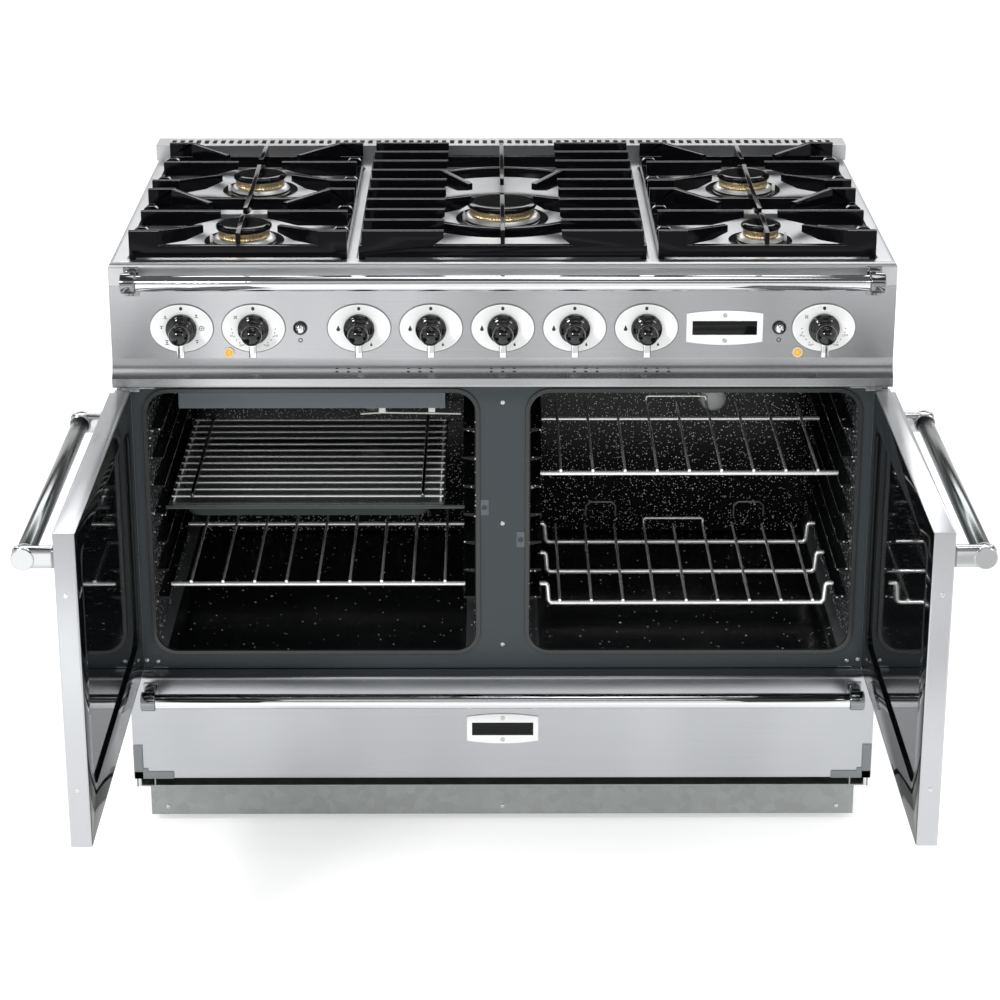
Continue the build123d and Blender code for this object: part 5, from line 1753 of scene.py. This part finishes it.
@dataclass
class OvenDetail:
    """The oven lamps with their rims, the grill element's clips, and the wire stops at the back."""

    lamp: Corner = (66.0, FASCIA + 453, 532.0)
    clip_y: float = FASCIA + 60
    clip_x: tuple[float, ...] = (-173.5, -102.0)
    stop_y: float = FASCIA + 451
    stop_x: tuple[float, ...] = (-111.0, 129.0)
    stop_half: float = 24.0

    def lamps(self) -> None:
        """Builds a glass dome in a steel rim on each back wall."""
        dome = ((0, 0), (19, 0), (19.6, 2), (19, 4.6), (16.8, 7), (13, 8.4), (7, 9), (0, 9))
        rim = ((19.7, 0), (21, 0), (21, 3), (20.6, 3.8), (19.9, 3.4), (19.7, 0))
        domes = []
        rims = []
        x, y, z = self.lamp
        for middle in (-OVEN_X, OVEN_X):
            centre = (middle + x, y, z)
            domes.append(spun("lamp_dome", dome, centre, FORWARDS, 36))
            rims.append(spun("lamp_rim", rim, centre, FORWARDS, 36))
        place(joined("oven_lamp_domes", domes), "cooker", LAMP, "lamp_glass", "oven_lamps")
        place(joined("oven_lamp_rims", rims), "cooker", BRIGHT, "bright_steel")

    def clips(self) -> None:
        """Builds the two ceramic clips of the grill element, their hangers and their wire."""
        pieces = []
        y = self.clip_y
        for x in self.clip_x:
            clip = slab("element_clip", (x - 5, y - 4, 650), (x + 5, y + 4, 661))
            round_edges(clip, 0.8, 2)
            pieces += [clip, drum("clip_hanger", (x, y, 660), (x, y, 680), 1.6, 12)]
        pieces.append(wire("clip_wire", [(-205, y, 646.5), (-173.5, y, 648.5), (-60, y, 646.5)], 1.2, 8))
        place(joined("grill_element_clips", pieces), "cooker", CERAMIC, "bright_steel")

    def stops(self) -> None:
        """Builds the bent wire stops on the back walls."""
        foot, bend, top = 329, 347, 354
        y = self.stop_y
        pieces = []
        for middle in (-OVEN_X, OVEN_X):
            for x in self.stop_x:
                left, right = middle + x - self.stop_half, middle + x + self.stop_half
                route = [
                    (left, y, foot), (left, y, bend), (left + 7, y, top),
                    (right - 7, y, top), (right, y, bend), (right, y, foot),
                ]
                pieces.append(wire("rear_stop", route, 1.3, 10))
        place(joined("rear_wire_stops", pieces), "cooker", ZINC, "bright_wire")

    def build(self) -> None:
        """Builds the lamps, the clips and the stops."""
        self.lamps()
        self.clips()
        self.stops()


class Carried:
    """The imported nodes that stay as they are, each with its finish."""

    def build(self) -> None:
        """Gives every node that is still shown its material."""
        for name, finish in CARRIED.items():
            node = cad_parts[name]
            material = finish.made()
            if not node.material_slots:
                node.data.materials.append(material)
            for slot in node.material_slots:
                slot.material = material
            log.info("%s has %s", name, finish.name)


@dataclass
class Studio:
    """The pale floor, the lights, the white surroundings and the camera."""

    lens: float = 94.98
    lean: float = 19.45
    yaw: float = -0.187
    camera_place: Corner = (-15.3, -3554.4, 1934.5)
    floor_width: float = 80.0
    floor_grey: float = 0.86
    floor_glow: float = 0.42
    daylight: float = 0.68

    def build(self) -> None:
        """Sets up the floor, the world, the lamps and the camera."""
        self.floor()
        self.world()
        self.lamp("key", (-2.4, -3.2, 3.4), (0.0, 0.0, 0.6), (0.8, 0.8), 78)
        self.lamp("top", (0.3, 0.4, 3.9), (0.0, 0.1, 0.9), (2.6, 1.6), 34)
        self.lamp("fill", (2.9, -2.6, 2.6), (0.0, 0.0, 0.5), (0.9, 0.9), 16)
        self.lamp("front", (0.0, -4.5, 1.4), (0.0, 0.0, 0.5), (3.0, 1.4), 60).visible_glossy = False
        self.lamp("rim", (0.0, 3.3, 3.0), (0.0, 0.0, 0.9), (4.4, 1.0), 56)
        self.card("front_card", (0, -5.0, 2.9), (9, 1.4), 90, 0.04)
        self.card("rear_card", (0, 3.4, 1.8), (7, 0.75), 90, 0.05)
        self.card("ceiling_card", (0, 0, 5.2), (9, 9), 0, 0.12)
        self.card("left_card", (-1.65, -2.4, 0.01), (2.5, 1.6), 0, 2.0)
        self.card("middle_card", (0.7, -2.4, 0.01), (2.2, 1.6), 0, 1.0)
        self.camera()
        bpy.context.scene.view_settings.view_transform = "Standard"

    def floor(self) -> None:
        """Adds the pale floor, which looks white to the camera and keeps the shadow."""
        bpy.ops.object.select_all(action="DESELECT")
        bpy.ops.mesh.primitive_plane_add(size=self.floor_width, location=(0, 0, 0))
        floor = named("studio_floor")
        material = bpy.data.materials.new("studio_floor")
        material.use_nodes = True
        w = Wiring(material.node_tree)
        shader = w.tree.nodes["Principled BSDF"]
        shader.inputs["Base Color"].default_value = (*even(self.floor_grey), 1)
        shader.inputs["Roughness"].default_value = 0.8
        seen = self.seen(w)
        shader.inputs["Emission Color"].default_value = (1, 1, 1, 1)
        w.tree.links.new(w.sum("MULTIPLY", seen, self.floor_glow), shader.inputs["Emission Strength"])
        floor.data.materials.append(material)

    def seen(self, w: Wiring) -> bpy.types.NodeSocket:
        """Tells what is seen apart from the light that falls on the object.

        Args:
            w: The wiring of a material or of the world.

        Returns:
            1 for what the camera, a reflection or glass sees, and 0 for light on the object.
        """
        path = w.add("ShaderNodeLightPath")
        both = w.sum("MAXIMUM", path.outputs["Is Camera Ray"], path.outputs["Is Glossy Ray"])
        return w.sum("MAXIMUM", both, path.outputs["Is Transmission Ray"])

    def world(self) -> None:
        """Makes surroundings that look white and give a plain, even light."""
        world = bpy.data.worlds.new("studio")
        bpy.context.scene.world = world
        world.use_nodes = True
        w = Wiring(world.node_tree)
        back = w.tree.nodes["Background"]
        back.inputs["Color"].default_value = (1, 1, 1, 1)
        level = w.sum("ADD", self.daylight, w.sum("MULTIPLY", self.seen(w), 1 - self.daylight))
        w.tree.links.new(level, back.inputs["Strength"])

    def card(self, name: str, spot: Corner, size: tuple[float, float], tilt: float, grey: float) -> None:
        """Adds a card that only shows in reflections, as the cards beside a photographer's set.

        Args:
            name: The card's name.
            spot: Its middle, in metres.
            size: Its width and its height.
            tilt: Its turn about the X axis in degrees, with 0 for a level card.
            grey: How bright it looks, with 1 for white.
        """
        bpy.ops.object.select_all(action="DESELECT")
        bpy.ops.mesh.primitive_plane_add(size=1, location=spot, rotation=(math.radians(tilt), 0, 0))
        card = named(name, (*size, 1))
        material = bpy.data.materials.new(name)
        material.use_nodes = True
        shader = material.node_tree.nodes["Principled BSDF"]
        shader.inputs["Base Color"].default_value = (0, 0, 0, 1)
        shader.inputs["Specular IOR Level"].default_value = 0
        shader.inputs["Emission Color"].default_value = (*even(grey), 1)
        shader.inputs["Emission Strength"].default_value = 1
        card.data.materials.append(material)
        card.visible_camera = False
        card.visible_diffuse = False
        card.visible_transmission = False
        card.visible_shadow = False

    def lamp(
        self, name: str, spot: Corner, target: Corner, size: tuple[float, float], power: float
    ) -> bpy.types.Object:
        """Adds one soft lamp aimed at a point.

        Args:
            name: What the lamp is for.
            spot: Its middle, in metres.
            target: The point that it is aimed at.
            size: Its width and its height.
            power: Its power in watts.

        Returns:
            The lamp.
        """
        aim = (Vector(target) - Vector(spot)).to_track_quat("-Z", "Y").to_euler()
        bpy.ops.object.light_add(type="AREA", location=spot, rotation=aim)
        light = bpy.context.object
        light.name = f"{name}_lamp"
        light.data.shape = "RECTANGLE"
        light.data.size, light.data.size_y = size
        light.data.energy = power
        return light

    def camera(self) -> None:
        """Sets the camera at the photograph's viewing angle."""
        bpy.ops.object.camera_add(
            location=mm(*self.camera_place),
            rotation=(math.radians(90 - self.lean), 0, math.radians(self.yaw)),
        )
        camera = bpy.context.object
        camera.data.sensor_width = 36
        camera.data.lens = self.lens
        camera.data.shift_y = -0.1
        camera.data.clip_end = 60
        bpy.context.scene.camera = camera


def main() -> None:
    """Builds the cooker's looks in order."""
    logging.basicConfig(level=logging.INFO, format="%(message)s")
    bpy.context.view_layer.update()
    Studio().build()
    Carried().build()
    PanSupports().build()
    Hob().build()
    ControlPanel().build()
    Rail("towel_rail", 881, "cooker", "front_rail").build()
    Rail("drawer_rail", 248, "drawer", "drawer_handle").build()
    for side in (-1, 1):
        Door(side).build()
    Drawer().build()
    Badge("panel_badge", BADGE_X, PANEL_Z, 106.5, 50, "cooker").build()
    Badge("drawer_badge", 0, DRAWER_BADGE_Z, 105, 48, "drawer").build()
    Screws().build()
    WireWork().build()
    OvenDetail().build()


if __name__ == "__main__":
    main()
